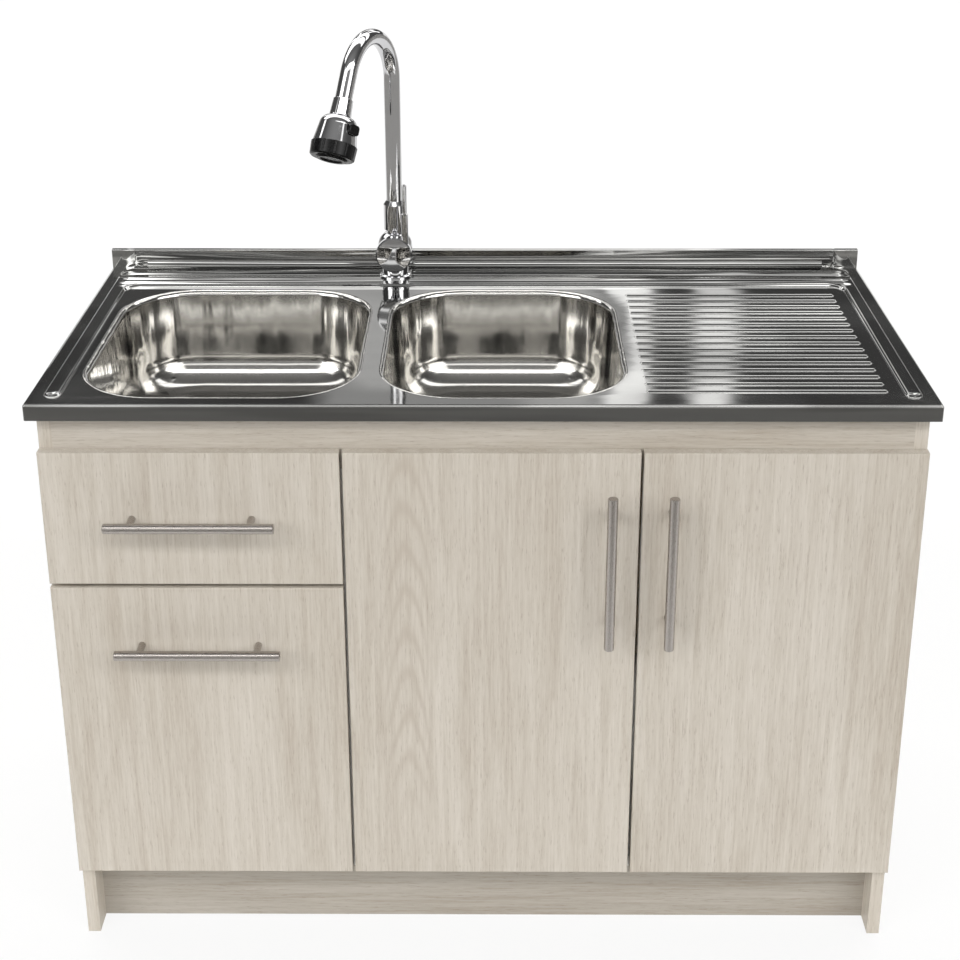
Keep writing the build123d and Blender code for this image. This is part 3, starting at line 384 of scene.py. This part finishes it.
def brushed(name, base_colour, along="X"):
    """Brushed bar steel with fine lines along the bar."""
    made = bpy.data.materials.new(name)
    n = Nodes(made)
    lines = n.noise(n.stretched(grain_scale(along, 2600.0, 90.0)), 3.0, 0.6)
    cloud = n.noise(n.stretched((60.0, 60.0, 60.0)), 3.0)
    base = n.mix(lines * 0.5 + cloud * 0.2, base_colour, tuple(c * 0.72 for c in base_colour))
    n.finish(base, 0.2 + lines * 0.16, n.bump(lines, 0.00004, 0.5), 1.0)
    return made


def chrome(name, base_colour):
    """Bright plating with a faint haze of water marks."""
    made = bpy.data.materials.new(name)
    n = Nodes(made)
    haze = n.noise(n.stretched((70.0, 70.0, 70.0)), 4.0, 0.65)
    wave = n.noise(n.stretched((45.0, 45.0, 45.0)), 1.0)
    base = n.mix(n.smooth(haze, 0.5, 0.8) * 0.3, base_colour, tuple(c * 0.85 for c in base_colour))
    n.finish(base, 0.035 + n.smooth(haze, 0.45, 0.8) * 0.05, n.bump(wave, 0.0004, 0.25), 1.0)
    return made


def plastic(name, base_colour, roughness, grain=1200.0, gloss=0.5):
    """Moulded plastic or rubber with a fine pebble."""
    made = bpy.data.materials.new(name)
    n = Nodes(made)
    pebble = n.noise(n.stretched((grain, grain, grain)), 2.0)
    wear = n.noise(n.stretched((30.0, 30.0, 30.0)), 4.0, 0.6)
    lighter = tuple(min(1.0, c * 1.12 + 0.006) for c in base_colour)
    base = n.mix(n.smooth(wear, 0.4, 0.75) * 0.6, base_colour, lighter)
    n.finish(base, roughness + wear * 0.14, n.bump(pebble, 0.00004, 0.5), Specular_IOR_Level=gloss)
    return made


def plated(name, base_colour, roughness, spangle=160.0):
    """Zinc plate, brass or cast metal with a faint spangle."""
    made = bpy.data.materials.new(name)
    n = Nodes(made)
    cells = n.value("ShaderNodeTexVoronoi", {"feature": "F1"},
                    Vector=n.stretched((spangle,) * 3), Scale=1.0)
    haze = n.noise(n.stretched((80.0, 80.0, 80.0)), 4.0, 0.6)
    base = n.mix(cells * 0.35, base_colour, tuple(c * 0.74 for c in base_colour))
    n.finish(base, roughness + haze * 0.16, n.bump(haze, 0.00008, 0.4), 1.0)
    return made


def paint(names, finish):
    """Gives CAD nodes a finish, on every slot of their objects."""
    for name in names:
        for slot in NODES[name].material_slots:
            slot.material = finish


# ---------------------------------------------------------------- mesh helpers
def plate(bm, corners, z):
    """A flat face from a few corner points."""
    return bm.faces.new([bm.verts.new((x, y, z)) for x, y in corners])


def box_corners(x0, x1, y0, y1):
    return [(x0, y0), (x1, y0), (x1, y1), (x0, y1)]


def round_corners(bm, verts, radius, segments):
    """Rounds the corners of flat faces."""
    bmesh.ops.bevel(bm, geom=verts, offset=radius, offset_type="OFFSET", segments=segments, profile=0.5,
                    affect="VERTICES", material=-1)


def tidy_outline(bm, known):
    """Merges points that two roundings leave on one spot, and gives the face they lie on."""
    bmesh.ops.remove_doubles(bm, verts=list(largest_face(bm, known).verts), dist=0.02 * MM)
    return largest_face(bm, known)


def largest_face(bm, known=()):
    """The largest face that isn't one of the known ones."""
    return max((f for f in bm.faces if f not in known), key=lambda f: f.calc_area())


def press(bm, face, steps):
    """Presses a face up or down ring by ring: each step is how far in and how far up."""
    for inward, up in steps:
        bmesh.ops.inset_individual(bm, faces=[face], thickness=inward, depth=up, use_even_offset=True)
    return face


def turn_steps(radius, start, end, count, sign):
    """Steps along an arc whose slope goes from start to end degrees."""
    angles = [math.radians(start + (end - start) * i / count) for i in range(count + 1)]
    return [
        (radius * abs(math.sin(b) - math.sin(a)), sign * radius * abs(math.cos(b) - math.cos(a)))
        for a, b in zip(angles, angles[1:])
    ]


def swell_steps(width, height, count):
    """Steps up a smooth swelling from its foot to its crown."""
    rise = [height * (1 - math.cos(math.pi * i / count)) / 2 for i in range(count + 1)]
    return [(width / count, b - a) for a, b in zip(rise, rise[1:])]


def rim_of(face):
    return [loop.edge for loop in face.loops]


def fill_between(bm, edges):
    """Flat sheet between outlines, with holes left where the inner outlines are."""
    found = bmesh.ops.triangle_fill(bm, use_beauty=True, use_dissolve=False, edges=list(dict.fromkeys(edges)),
                                    normal=(0.0, 0.0, 1.0))
    return [g for g in found["geom"] if isinstance(g, bmesh.types.BMFace)]


def make_piece(name, bm, body, finish, replaces=(), smooth_angle=35.0, sheet=0.0):
    """Turns a bmesh into an object that rides on its body."""
    bmesh.ops.recalc_face_normals(bm, faces=bm.faces[:])
    if sheet and max(bm.faces, key=lambda f: f.calc_center_median().z).normal.z < 0:
        bmesh.ops.reverse_faces(bm, faces=bm.faces[:])
    mesh = bpy.data.meshes.new(name)
    bm.to_mesh(mesh)
    bm.free()
    mesh.materials.append(finish)
    mesh.shade_smooth()
    mesh.set_sharp_from_angle(angle=math.radians(smooth_angle))
    piece = bpy.data.objects.new(name, mesh)
    bpy.context.scene.collection.objects.link(piece)
    if sheet:
        wall = piece.modifiers.new("sheet", "SOLIDIFY")
        wall.thickness = sheet
        wall.offset = -1.0
    flat = piece.modifiers.new("flat_faces", "WEIGHTED_NORMAL")
    flat.keep_sharp = True
    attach(piece, body)
    if replaces:
        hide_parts(*replaces)
    return piece


# ---------------------------------------------------------------- sink
def bowl_mouth(box):
    """Mouth outline of a bowl as x0, x1, y0, y1."""
    low, high = box
    return low.x + MM, high.x - MM, low.y + MM, high.y - MM


def press_bowl(bm, s, box):
    """Presses a bowl from its mouth outline: rolled lip, wall, floor round and the drain's hole."""
    x0, x1, y0, y1 = bowl_mouth(box)
    known = set(bm.faces)
    face = plate(bm, box_corners(x0, x1, y0, y1), DECK_Z)
    round_corners(bm, list(face.verts), s.mouth_corner - MM, 16)
    face = largest_face(bm, known)
    bmesh.ops.bisect_edges(bm, edges=[e for e in rim_of(face) if e.calc_length() > 60 * MM], cuts=6)
    outline = rim_of(face)
    draft = 3.0
    lip = turn_steps(s.lip_round, 0, 90 - draft, 7, -1)
    floor = turn_steps(s.floor_round, 90 - draft, 0, 12, -1)
    flat = [(5 * MM, -0.3 * MM)]
    used = -sum(up for _, up in lip + floor + flat)
    drop = s.bowl_depth - used
    wall = [(drop * math.tan(math.radians(draft)) / 4, -drop / 4)] * 4
    floor_face = press(bm, face, lip + wall + floor + flat)
    rim = rim_of(floor_face)
    center = (box[0] + box[1]) / 2
    circle = bmesh.ops.create_circle(bm, cap_ends=False, radius=s.drain_hole / 2 + MM, segments=len(rim))
    bmesh.ops.translate(bm, verts=circle["verts"], vec=(center.x, center.y, DECK_Z - s.bowl_depth))
    ring = dict.fromkeys(e for v in circle["verts"] for e in v.link_edges)
    bmesh.ops.delete(bm, geom=[floor_face], context="FACES_ONLY")
    bmesh.ops.bridge_loops(bm, edges=rim + list(ring))
    return outline


def press_frame(bm, s):
    """Presses the raised frame: a bead down each side and the tap ledge along the back."""
    x1 = SINK_HIGH.x - s.frame_inset
    x0 = x1 - s.frame_width
    front = SINK_LOW.y + s.frame_front
    ledge = SINK_LOW.y + s.ledge_start
    back = SINK_HIGH.y - 16 * MM
    corners = [(-x1, front), (-x0, front), (-x0, ledge), (x0, ledge), (x0, front), (x1, front), (x1, back),
               (-x1, back)]
    known = set(bm.faces)
    face = plate(bm, corners, DECK_Z)
    verts = list(face.verts)
    tips = [v for v in verts if abs(v.co.y - front) < MM]
    inner = [v for v in verts if abs(v.co.y - ledge) < MM]
    outer = [v for v in verts if abs(v.co.y - back) < MM]
    round_corners(bm, tips, s.frame_width / 2, 9)
    round_corners(bm, inner, 24 * MM, 10)
    round_corners(bm, outer, s.frame_corner, 12)
    face = tidy_outline(bm, known)
    outline = rim_of(face)
    crown = [(2.5 * MM, 0.3 * MM), (3 * MM, 0.1 * MM)]
    press(bm, face, swell_steps(4.2 * MM, s.frame_height - 0.4 * MM, 7) + crown)
    return outline


def press_rib(bm, s, row):
    """Presses one drainer rib with round ends."""
    x0 = SINK_LOW.x + s.rib_left
    y = SINK_LOW.y + s.rib_first + row * s.rib_pitch
    known = set(bm.faces)
    half = s.rib_width / 2
    face = plate(bm, box_corners(x0, x0 + s.rib_length, y - half, y + half), DECK_Z)
    round_corners(bm, list(face.verts), half, 6)
    face = tidy_outline(bm, known)
    outline = rim_of(face)
    press(bm, face, swell_steps(half - 0.6 * MM, s.rib_height, 6))
    return outline


def fold_edges(bm, s):
    """The deck's outer plate, with its front and side edges rounded and folded down to the skirt."""
    y0 = SINK_LOW.y
    y1 = SINK_HIGH.y - UPSTAND_THICKNESS + MM
    face = plate(bm, box_corners(SINK_LOW.x, SINK_HIGH.x, y0, y1), DECK_Z)
    round_corners(bm, [v for v in face.verts if v.co.y < y1 - MM], 3 * MM, 4)
    face = largest_face(bm)
    free = [e for e in rim_of(face) if min(v.co.y for v in e.verts) < y1 - MM]
    walls = bmesh.ops.extrude_edge_only(bm, edges=free)
    low = [g for g in walls["geom"] if isinstance(g, bmesh.types.BMVert)]
    bmesh.ops.translate(bm, verts=low, vec=(0, 0, -s.skirt))
    bmesh.ops.bevel(bm, geom=free, offset=s.edge_round, offset_type="OFFSET", segments=5, profile=0.5,
                    affect="EDGES", material=-1)
    face = largest_face(bm)
    bmesh.ops.inset_individual(bm, faces=[face], thickness=1.2 * MM, depth=0, use_even_offset=True)
    rim = rim_of(face)
    bmesh.ops.delete(bm, geom=[face], context="FACES_ONLY")
    return rim


def pressed_sink(s, finishes):
    """Deck and bowls as one pressed sheet."""
    bm = bmesh.new()
    edges = fold_edges(bm, s)
    for outline in [press_frame(bm, s)] + [press_rib(bm, s, row) for row in range(s.rib_count)]:
        edges += outline
    bowl_start = len(bm.faces)
    for box in (LEFT_BOWL, RIGHT_BOWL):
        edges += press_bowl(bm, s, box)
    bm.faces.ensure_lookup_table()
    for face in bm.faces[bowl_start:]:
        face.material_index = 1
    for face in fill_between(bm, edges):
        face.material_index = 0
    piece = make_piece("pressed_sink", bm, "cabinet", finishes[0],
                       ("sink_top", "left_bowl", "right_bowl"), 60.0, s.sheet)
    piece.data.materials.append(finishes[1])
    return piece


def section_sweep(bm, section, x0, x1, rounded):
    """Sweeps a section of (y, z) points along X, with some of its corners rounded first."""
    known = set(bm.faces)
    face = bm.faces.new([bm.verts.new((x0, y, z)) for y, z in section])
    for place, radius, segments in rounded:
        spot = Vector(section[place])
        corner = [v for v in largest_face(bm, known).verts if (v.co.yz - spot).length < 1e-5]
        round_corners(bm, corner, radius, segments)
    face = largest_face(bm, known)
    swept = bmesh.ops.extrude_face_region(bm, geom=[face])
    verts = [g for g in swept["geom"] if isinstance(g, bmesh.types.BMVert)]
    bmesh.ops.translate(bm, verts=verts, vec=(x1 - x0, 0, 0))


def upstand(s, finish):
    """Folded upstand along the back, and the hollow rounding at its foot."""
    bm = bmesh.new()
    front = SINK_HIGH.y - UPSTAND_THICKNESS
    back = SINK_HIGH.y
    low = DECK_Z - s.skirt
    top = DECK_Z + UPSTAND
    fold = 1.6 * MM
    section_sweep(bm, [(front, low), (front, top), (back, top), (back, low)], SINK_LOW.x, SINK_HIGH.x,
                  [(1, fold, 4), (2, fold, 4)])
    toe = DECK_Z + s.frame_height
    cove = [(front + MM, DECK_Z - MM), (front - s.cove, DECK_Z - MM), (front - s.cove, toe), (front, toe),
            (front, toe + s.cove), (front + MM, toe + s.cove)]
    half = SINK_HIGH.x - s.frame_inset - s.frame_corner
    section_sweep(bm, cove, -half, half, [(3, s.cove * 0.98, 8)])
    return make_piece("sink_upstand", bm, "cabinet", finish, ("sink_top",), 28.0)


# ---------------------------------------------------------------- stage
def light_panel(n, direction, toward, half_width, half_height, feather):
    """A soft-edged rectangular lamp in the studio round the unit, as a mask over directions."""
    aim = Vector(toward).normalized()
    right = aim.cross(Vector((0, 0, 1))).normalized()
    over = right.cross(aim)
    ahead = n.dot(direction, aim)
    across = abs(n.dot(direction, right) / ahead)
    upward = abs(n.dot(direction, over) / ahead)
    inside = n.smooth(across, half_width + feather, half_width)
    inside = inside * n.smooth(upward, half_height + feather, half_height)
    return inside * n.math("GREATER_THAN", ahead, 0.01)


# Each lamp: the way it lies, its half width and half height at unit distance, its soft edge, its strength.
CEILING_LAMPS = (
    ((0.0, -1.0, 1.15), 1.6, 0.07, 0.03, 5.5),
    ((0.0, 0.3, 1.0), 1.4, 0.14, 0.05, 2.6),
    ((0.0, 1.0, 1.3), 1.3, 0.09, 0.03, 4.0),
)
FRONT_WINDOWS = (
    ((-1.0, -0.9, 0.55), 0.26, 0.36, 0.06, 2.0),
    ((1.0, -1.0, 0.55), 0.2, 0.36, 0.06, 1.8),
    ((0.0, -1.0, 0.2), 1.2, 0.02, 0.02, 2.0),
    ((0.0, -1.0, 0.46), 1.2, 0.03, 0.02, 2.0),
)
REAR_LAMPS = (
    ((-0.02, 1.0, 0.36), 0.07, 0.12, 0.02, 0.62),
    ((0.083, 1.0, 0.36), 0.009, 0.12, 0.007, 1.7),
    ((0.136, 1.0, 0.36), 0.006, 0.12, 0.011, 1.5),
    ((0.0, 1.0, 0.54), 0.5, 0.03, 0.05, 1.3),
    ((-0.55, 1.0, 0.75), 0.03, 0.35, 0.02, 3.0),
    ((0.6, 1.0, 0.75), 0.03, 0.35, 0.02, 3.0),
    ((-0.25, 1.0, 0.9), 0.015, 0.3, 0.02, 3.0),
    ((0.28, 1.0, 0.9), 0.015, 0.3, 0.02, 3.0),
)


def studio_world(st):
    """A dim room with long ceiling lamps, windows in front and narrow lamps behind."""
    world = bpy.data.worlds.new("studio")
    bpy.context.scene.world = world
    n = Nodes(world)
    direction = n.value("ShaderNodeTexCoord", None, "Generated")
    _, ahead, up = n.axes(direction)
    level = 0.11 + n.smooth(ahead, 0.0, -0.8) * 0.24 + n.smooth(up, 0.5, 1.0) * 0.1
    for *shape, power in CEILING_LAMPS + FRONT_WINDOWS + REAR_LAMPS:
        level = level + light_panel(n, direction, *shape) * power
    back = n.add("ShaderNodeBackground", None, Color=(1.0, 0.995, 0.985, 1.0), Strength=level * st.room)
    n.add("ShaderNodeOutputWorld", None, Surface=Value(n, back.outputs[0]))


def floor_finish(st):
    """White sweep under and behind the unit, on a darker floor further off."""
    made = bpy.data.materials.new("pale_floor")
    n = Nodes(made)
    side, depth, _ = n.axes(n.place())
    reach = (depth + 2.4) * 0.33 + 1.0
    sweep = n.smooth(abs(side) - reach, 1.3, 0.0) * n.smooth(depth, -1.7, -0.6)
    fleck = n.noise(n.stretched((3.0, 3.0, 3.0)), 3.0)
    grey = n.mix(fleck, st.surround, tuple(c * 1.3 for c in st.surround))
    base = n.mix(sweep, grey, st.floor)
    surface = n.value("ShaderNodeBsdfPrincipled", None, Base_Color=base, Roughness=0.85,
                      Specular_IOR_Level=0.1)
    glow = n.value("ShaderNodeEmission", None, Color=(1.0, 1.0, 1.0, 1.0), Strength=1.0)
    rays = n.add("ShaderNodeLightPath")
    seen = Value(n, rays.outputs["Is Camera Ray"]) + Value(n, rays.outputs["Is Glossy Ray"])
    seen = seen + Value(n, rays.outputs["Is Transmission Ray"])
    both = n.value("ShaderNodeMixShader", None, _0=seen * sweep * st.whiteness, _1=surface, _2=glow)
    n.add("ShaderNodeOutputMaterial", None, Surface=both)
    return made


def studio_floor(st):
    """Pale floor that turns up into a low wall all round, far from the unit."""
    radius = 14.0
    wall = 3.0
    bm = bmesh.new()
    ends = [bm.verts.new(p) for p in ((0.0, 0, 0.0), (radius, 0, 0.0), (radius, 0, wall))]
    edges = [bm.edges.new(pair) for pair in zip(ends, ends[1:])]
    bmesh.ops.bevel(bm, geom=[ends[1]], offset=2.4, offset_type="OFFSET", segments=10, profile=0.5,
                    affect="VERTICES", material=-1)
    bmesh.ops.spin(bm, geom=bm.verts[:] + bm.edges[:], cent=(0, 0, 0), axis=(0, 0, 1), angle=math.tau,
                   steps=64, use_merge=True, use_duplicate=False)
    bmesh.ops.remove_doubles(bm, verts=bm.verts[:], dist=1e-4)
    bmesh.ops.recalc_face_normals(bm, faces=bm.faces[:])
    for face in bm.faces:
        upright = abs(face.normal.z) < 0.1
        if face.normal.z < 0 or (upright and face.normal.dot(face.calc_center_median()) > 0):
            bmesh.ops.reverse_faces(bm, faces=bm.faces[:])
            break
    mesh = bpy.data.meshes.new("studio_floor")
    bm.to_mesh(mesh)
    bm.free()
    mesh.materials.append(floor_finish(st))
    mesh.shade_smooth()
    floor = bpy.data.objects.new("studio_floor", mesh)
    bpy.context.scene.collection.objects.link(floor)


def soft_lamp(name, toward, power, spread=32.0):
    """A very soft distant lamp that shines from the given side."""
    data = bpy.data.lights.new(name, "SUN")
    data.energy = power
    data.angle = math.radians(spread)
    lamp = bpy.data.objects.new(name, data)
    lamp.rotation_euler = Vector(toward).to_track_quat("Z", "Y").to_euler()
    bpy.context.scene.collection.objects.link(lamp)


def photo_camera(st):
    """The camera that was fitted to the unit's corners."""
    data = bpy.data.cameras.new("photo_camera")
    data.lens = st.lens
    data.sensor_width = 36.0
    data.sensor_fit = "HORIZONTAL"
    data.shift_y = -0.104
    data.clip_end = 100.0
    camera = bpy.data.objects.new("photo_camera", data)
    turn = Matrix.Rotation(math.radians(0.413), 4, "Z")
    tilt = Matrix.Rotation(math.radians(68.533), 4, "X")
    roll = Matrix.Rotation(math.radians(-0.106), 4, "Z")
    camera.matrix_world = Matrix.Translation((0.0121, -2.3769, 1.7122)) @ turn @ tilt @ roll
    bpy.context.scene.collection.objects.link(camera)
    bpy.context.scene.camera = camera


# ---------------------------------------------------------------- operators
class SINKUNIT_OT_boards(bpy.types.Operator):
    """Finish the carcass boards, the drawer boxes and the four fronts"""

    bl_idname = "sinkunit.boards"
    bl_label = "Boards and fronts"

    def execute(self, context):
        s = context.scene.sinkunit_laminate
        # The last number given to each oak is painted shade over the whole board: 0.95 on the gables, about
        # 0.92 on the fronts, 0.86 on the rail under the sink and 0.7 on the recessed plinth.
        paint(["left_gable"], oak("oak_left_gable", s, "Z", 1.3, shade=0.95))
        paint(["right_gable"], oak("oak_right_gable", s, "Z", 2.9, shade=0.95))
        paint(["front_rail"], oak("oak_rail", s, "X", 4.1, shade=0.86))
        paint(["plinth"], oak("oak_plinth", s, "X", 6.6, shade=0.7))
        paint(["top_drawer_front", "bottom_drawer_front"], oak("oak_drawers", s, "Z", 5.2, shade=0.92))
        paint(["middle_door"], oak("oak_middle_door", s, "Z", 7.7, [(-0.105, 0.56, 0.55)], 0.92))
        paint(["right_door"], oak("oak_right_door", s, "Z", 9.4, shade=0.91))
        paint(["base_panel", "divider", "rear_rail", "top_drawer_sides", "top_drawer_backs",
               "top_drawer_notch_panels", "bottom_drawer_sides", "bottom_drawer_back"], white_board(s))
        paint(["back_panel", "top_drawer_base", "bottom_drawer_base"], hardboard(s))
        return {"FINISHED"}


class SINKUNIT_OT_fittings(bpy.types.Operator):
    """Finish the bar handles, hinges and drawer runners"""

    bl_idname = "sinkunit.fittings"
    bl_label = "Handles, hinges and runners"

    def execute(self, context):
        s = context.scene.sinkunit_steel
        paint(["top_drawer_handle", "bottom_drawer_handle"], brushed("brushed_bar_crosswise", s.handle, "X"))
        paint(["middle_door_handle", "right_door_handle"], brushed("brushed_bar_upright", s.handle, "Z"))
        zinc = plated("zinc_plate", tone(176, 178, 180), 0.26)
        paint(["runner_channels", "top_drawer_runners", "bottom_drawer_runners", "hinge_arms",
               "middle_door_hinge_cups", "right_door_hinge_cups"], zinc)
        return {"FINISHED"}


class SINKUNIT_OT_sink(bpy.types.Operator):
    """Press the sink's deck, beads, ribs and bowls, and fold its upstand"""

    bl_idname = "sinkunit.sink"
    bl_label = "Pressed steel sink"

    def execute(self, context):
        s = context.scene.sinkunit_sink
        metal = context.scene.sinkunit_steel
        # rolled also paints clouds of reflection on the deck and upstand, and shade on the skirt.
        deck = steel("polished_deck", metal.deck, metal.roughness, "X", 0.6, rolled=7.0)
        bowl = steel("polished_bowls", metal.bowl, metal.roughness * 2.0, "Z", 1.2, drawn=2.0)
        pressed_sink(s, (deck, bowl))
        upstand(s, deck)
        return {"FINISHED"}


class SINKUNIT_OT_plumbing(bpy.types.Operator):
    """Finish the wastes, strainer baskets, pipes and trap"""

    bl_idname = "sinkunit.plumbing"
    bl_label = "Wastes, pipes and trap"

    def execute(self, context):
        metal = context.scene.sinkunit_steel
        paint(["left_waste_flange", "right_waste_flange", "left_basket", "right_basket"],
              steel("polished_strainer", metal.bowl, 0.16, "X", 0.3))
        paint(["left_waste_body", "right_waste_body", "drain_pipe", "trap_inlet", "trap_body", "trap_cup",
               "trap_outlet"], plastic("white_pipe_plastic", tone(228, 228, 224), 0.3))
        return {"FINISHED"}


class SINKUNIT_OT_tap(bpy.types.Operator):
    """Finish the mixer tap, its spout, spray head and fixing"""

    bl_idname = "sinkunit.tap"
    bl_label = "Mixer tap"

    def execute(self, context):
        metal = context.scene.sinkunit_steel
        plating = chrome("chrome_plating", metal.chrome)
        paint(["tap_base", "mixer_stem", "mixer_cap", "mixer_lever", "spout_sleeve", "spout_pipe",
               "spout_collar", "spray_head"], plating)
        paint(["spray_ring", "spray_nozzle", "diverter_button"],
              plastic("black_grip_plastic", tone(10, 10, 11), 0.2, gloss=0.22))
        paint(["tap_shank", "tap_nut"], plated("brass", (0.66, 0.47, 0.22), 0.28))
        paint(["tap_washer"], plastic("rubber", tone(40, 40, 40), 0.6))
        return {"FINISHED"}


class SINKUNIT_OT_stage(bpy.types.Operator):
    """Set up the pale floor, the soft studio light and the camera"""

    bl_idname = "sinkunit.stage"
    bl_label = "Studio and camera"

    def execute(self, context):
        st = context.scene.sinkunit_stage
        context.scene.view_settings.view_transform = "Standard"
        studio_world(st)
        studio_floor(st)
        soft_lamp("key_lamp", (-1.15, -1.0, 0.36), st.key)
        soft_lamp("fill_lamp", (1.25, -1.0, 0.36), st.fill)
        photo_camera(st)
        return {"FINISHED"}


class SINKUNIT_PT_panel(bpy.types.Panel):
    """The unit's groups of pieces, in the order they are made"""

    bl_idname = "SINKUNIT_PT_panel"
    bl_label = "Kitchen Sink Unit"
    bl_space_type = "VIEW_3D"
    bl_region_type = "UI"
    bl_category = "Sink Unit"

    def draw(self, context):
        for operator in STEPS:
            self.layout.operator(operator.bl_idname)


SETTINGS = {
    "sinkunit_laminate": LaminateSettings,
    "sinkunit_steel": SteelSettings,
    "sinkunit_sink": SinkSettings,
    "sinkunit_stage": StageSettings,
}
STEPS = (
    SINKUNIT_OT_stage,
    SINKUNIT_OT_boards,
    SINKUNIT_OT_fittings,
    SINKUNIT_OT_sink,
    SINKUNIT_OT_plumbing,
    SINKUNIT_OT_tap,
)


def register():
    for group in SETTINGS.values():
        bpy.utils.register_class(group)
    for operator in STEPS:
        bpy.utils.register_class(operator)
    bpy.utils.register_class(SINKUNIT_PT_panel)
    for name, group in SETTINGS.items():
        setattr(bpy.types.Scene, name, PointerProperty(type=group))


def unregister():
    for name in SETTINGS:
        delattr(bpy.types.Scene, name)
    bpy.utils.unregister_class(SINKUNIT_PT_panel)
    for group in (*STEPS, *SETTINGS.values()):
        bpy.utils.unregister_class(group)


def main():
    register()
    for step in STEPS:
        group, name = step.bl_idname.split(".")
        getattr(getattr(bpy.ops, group), name)()


if __name__ == "__main__":
    main()
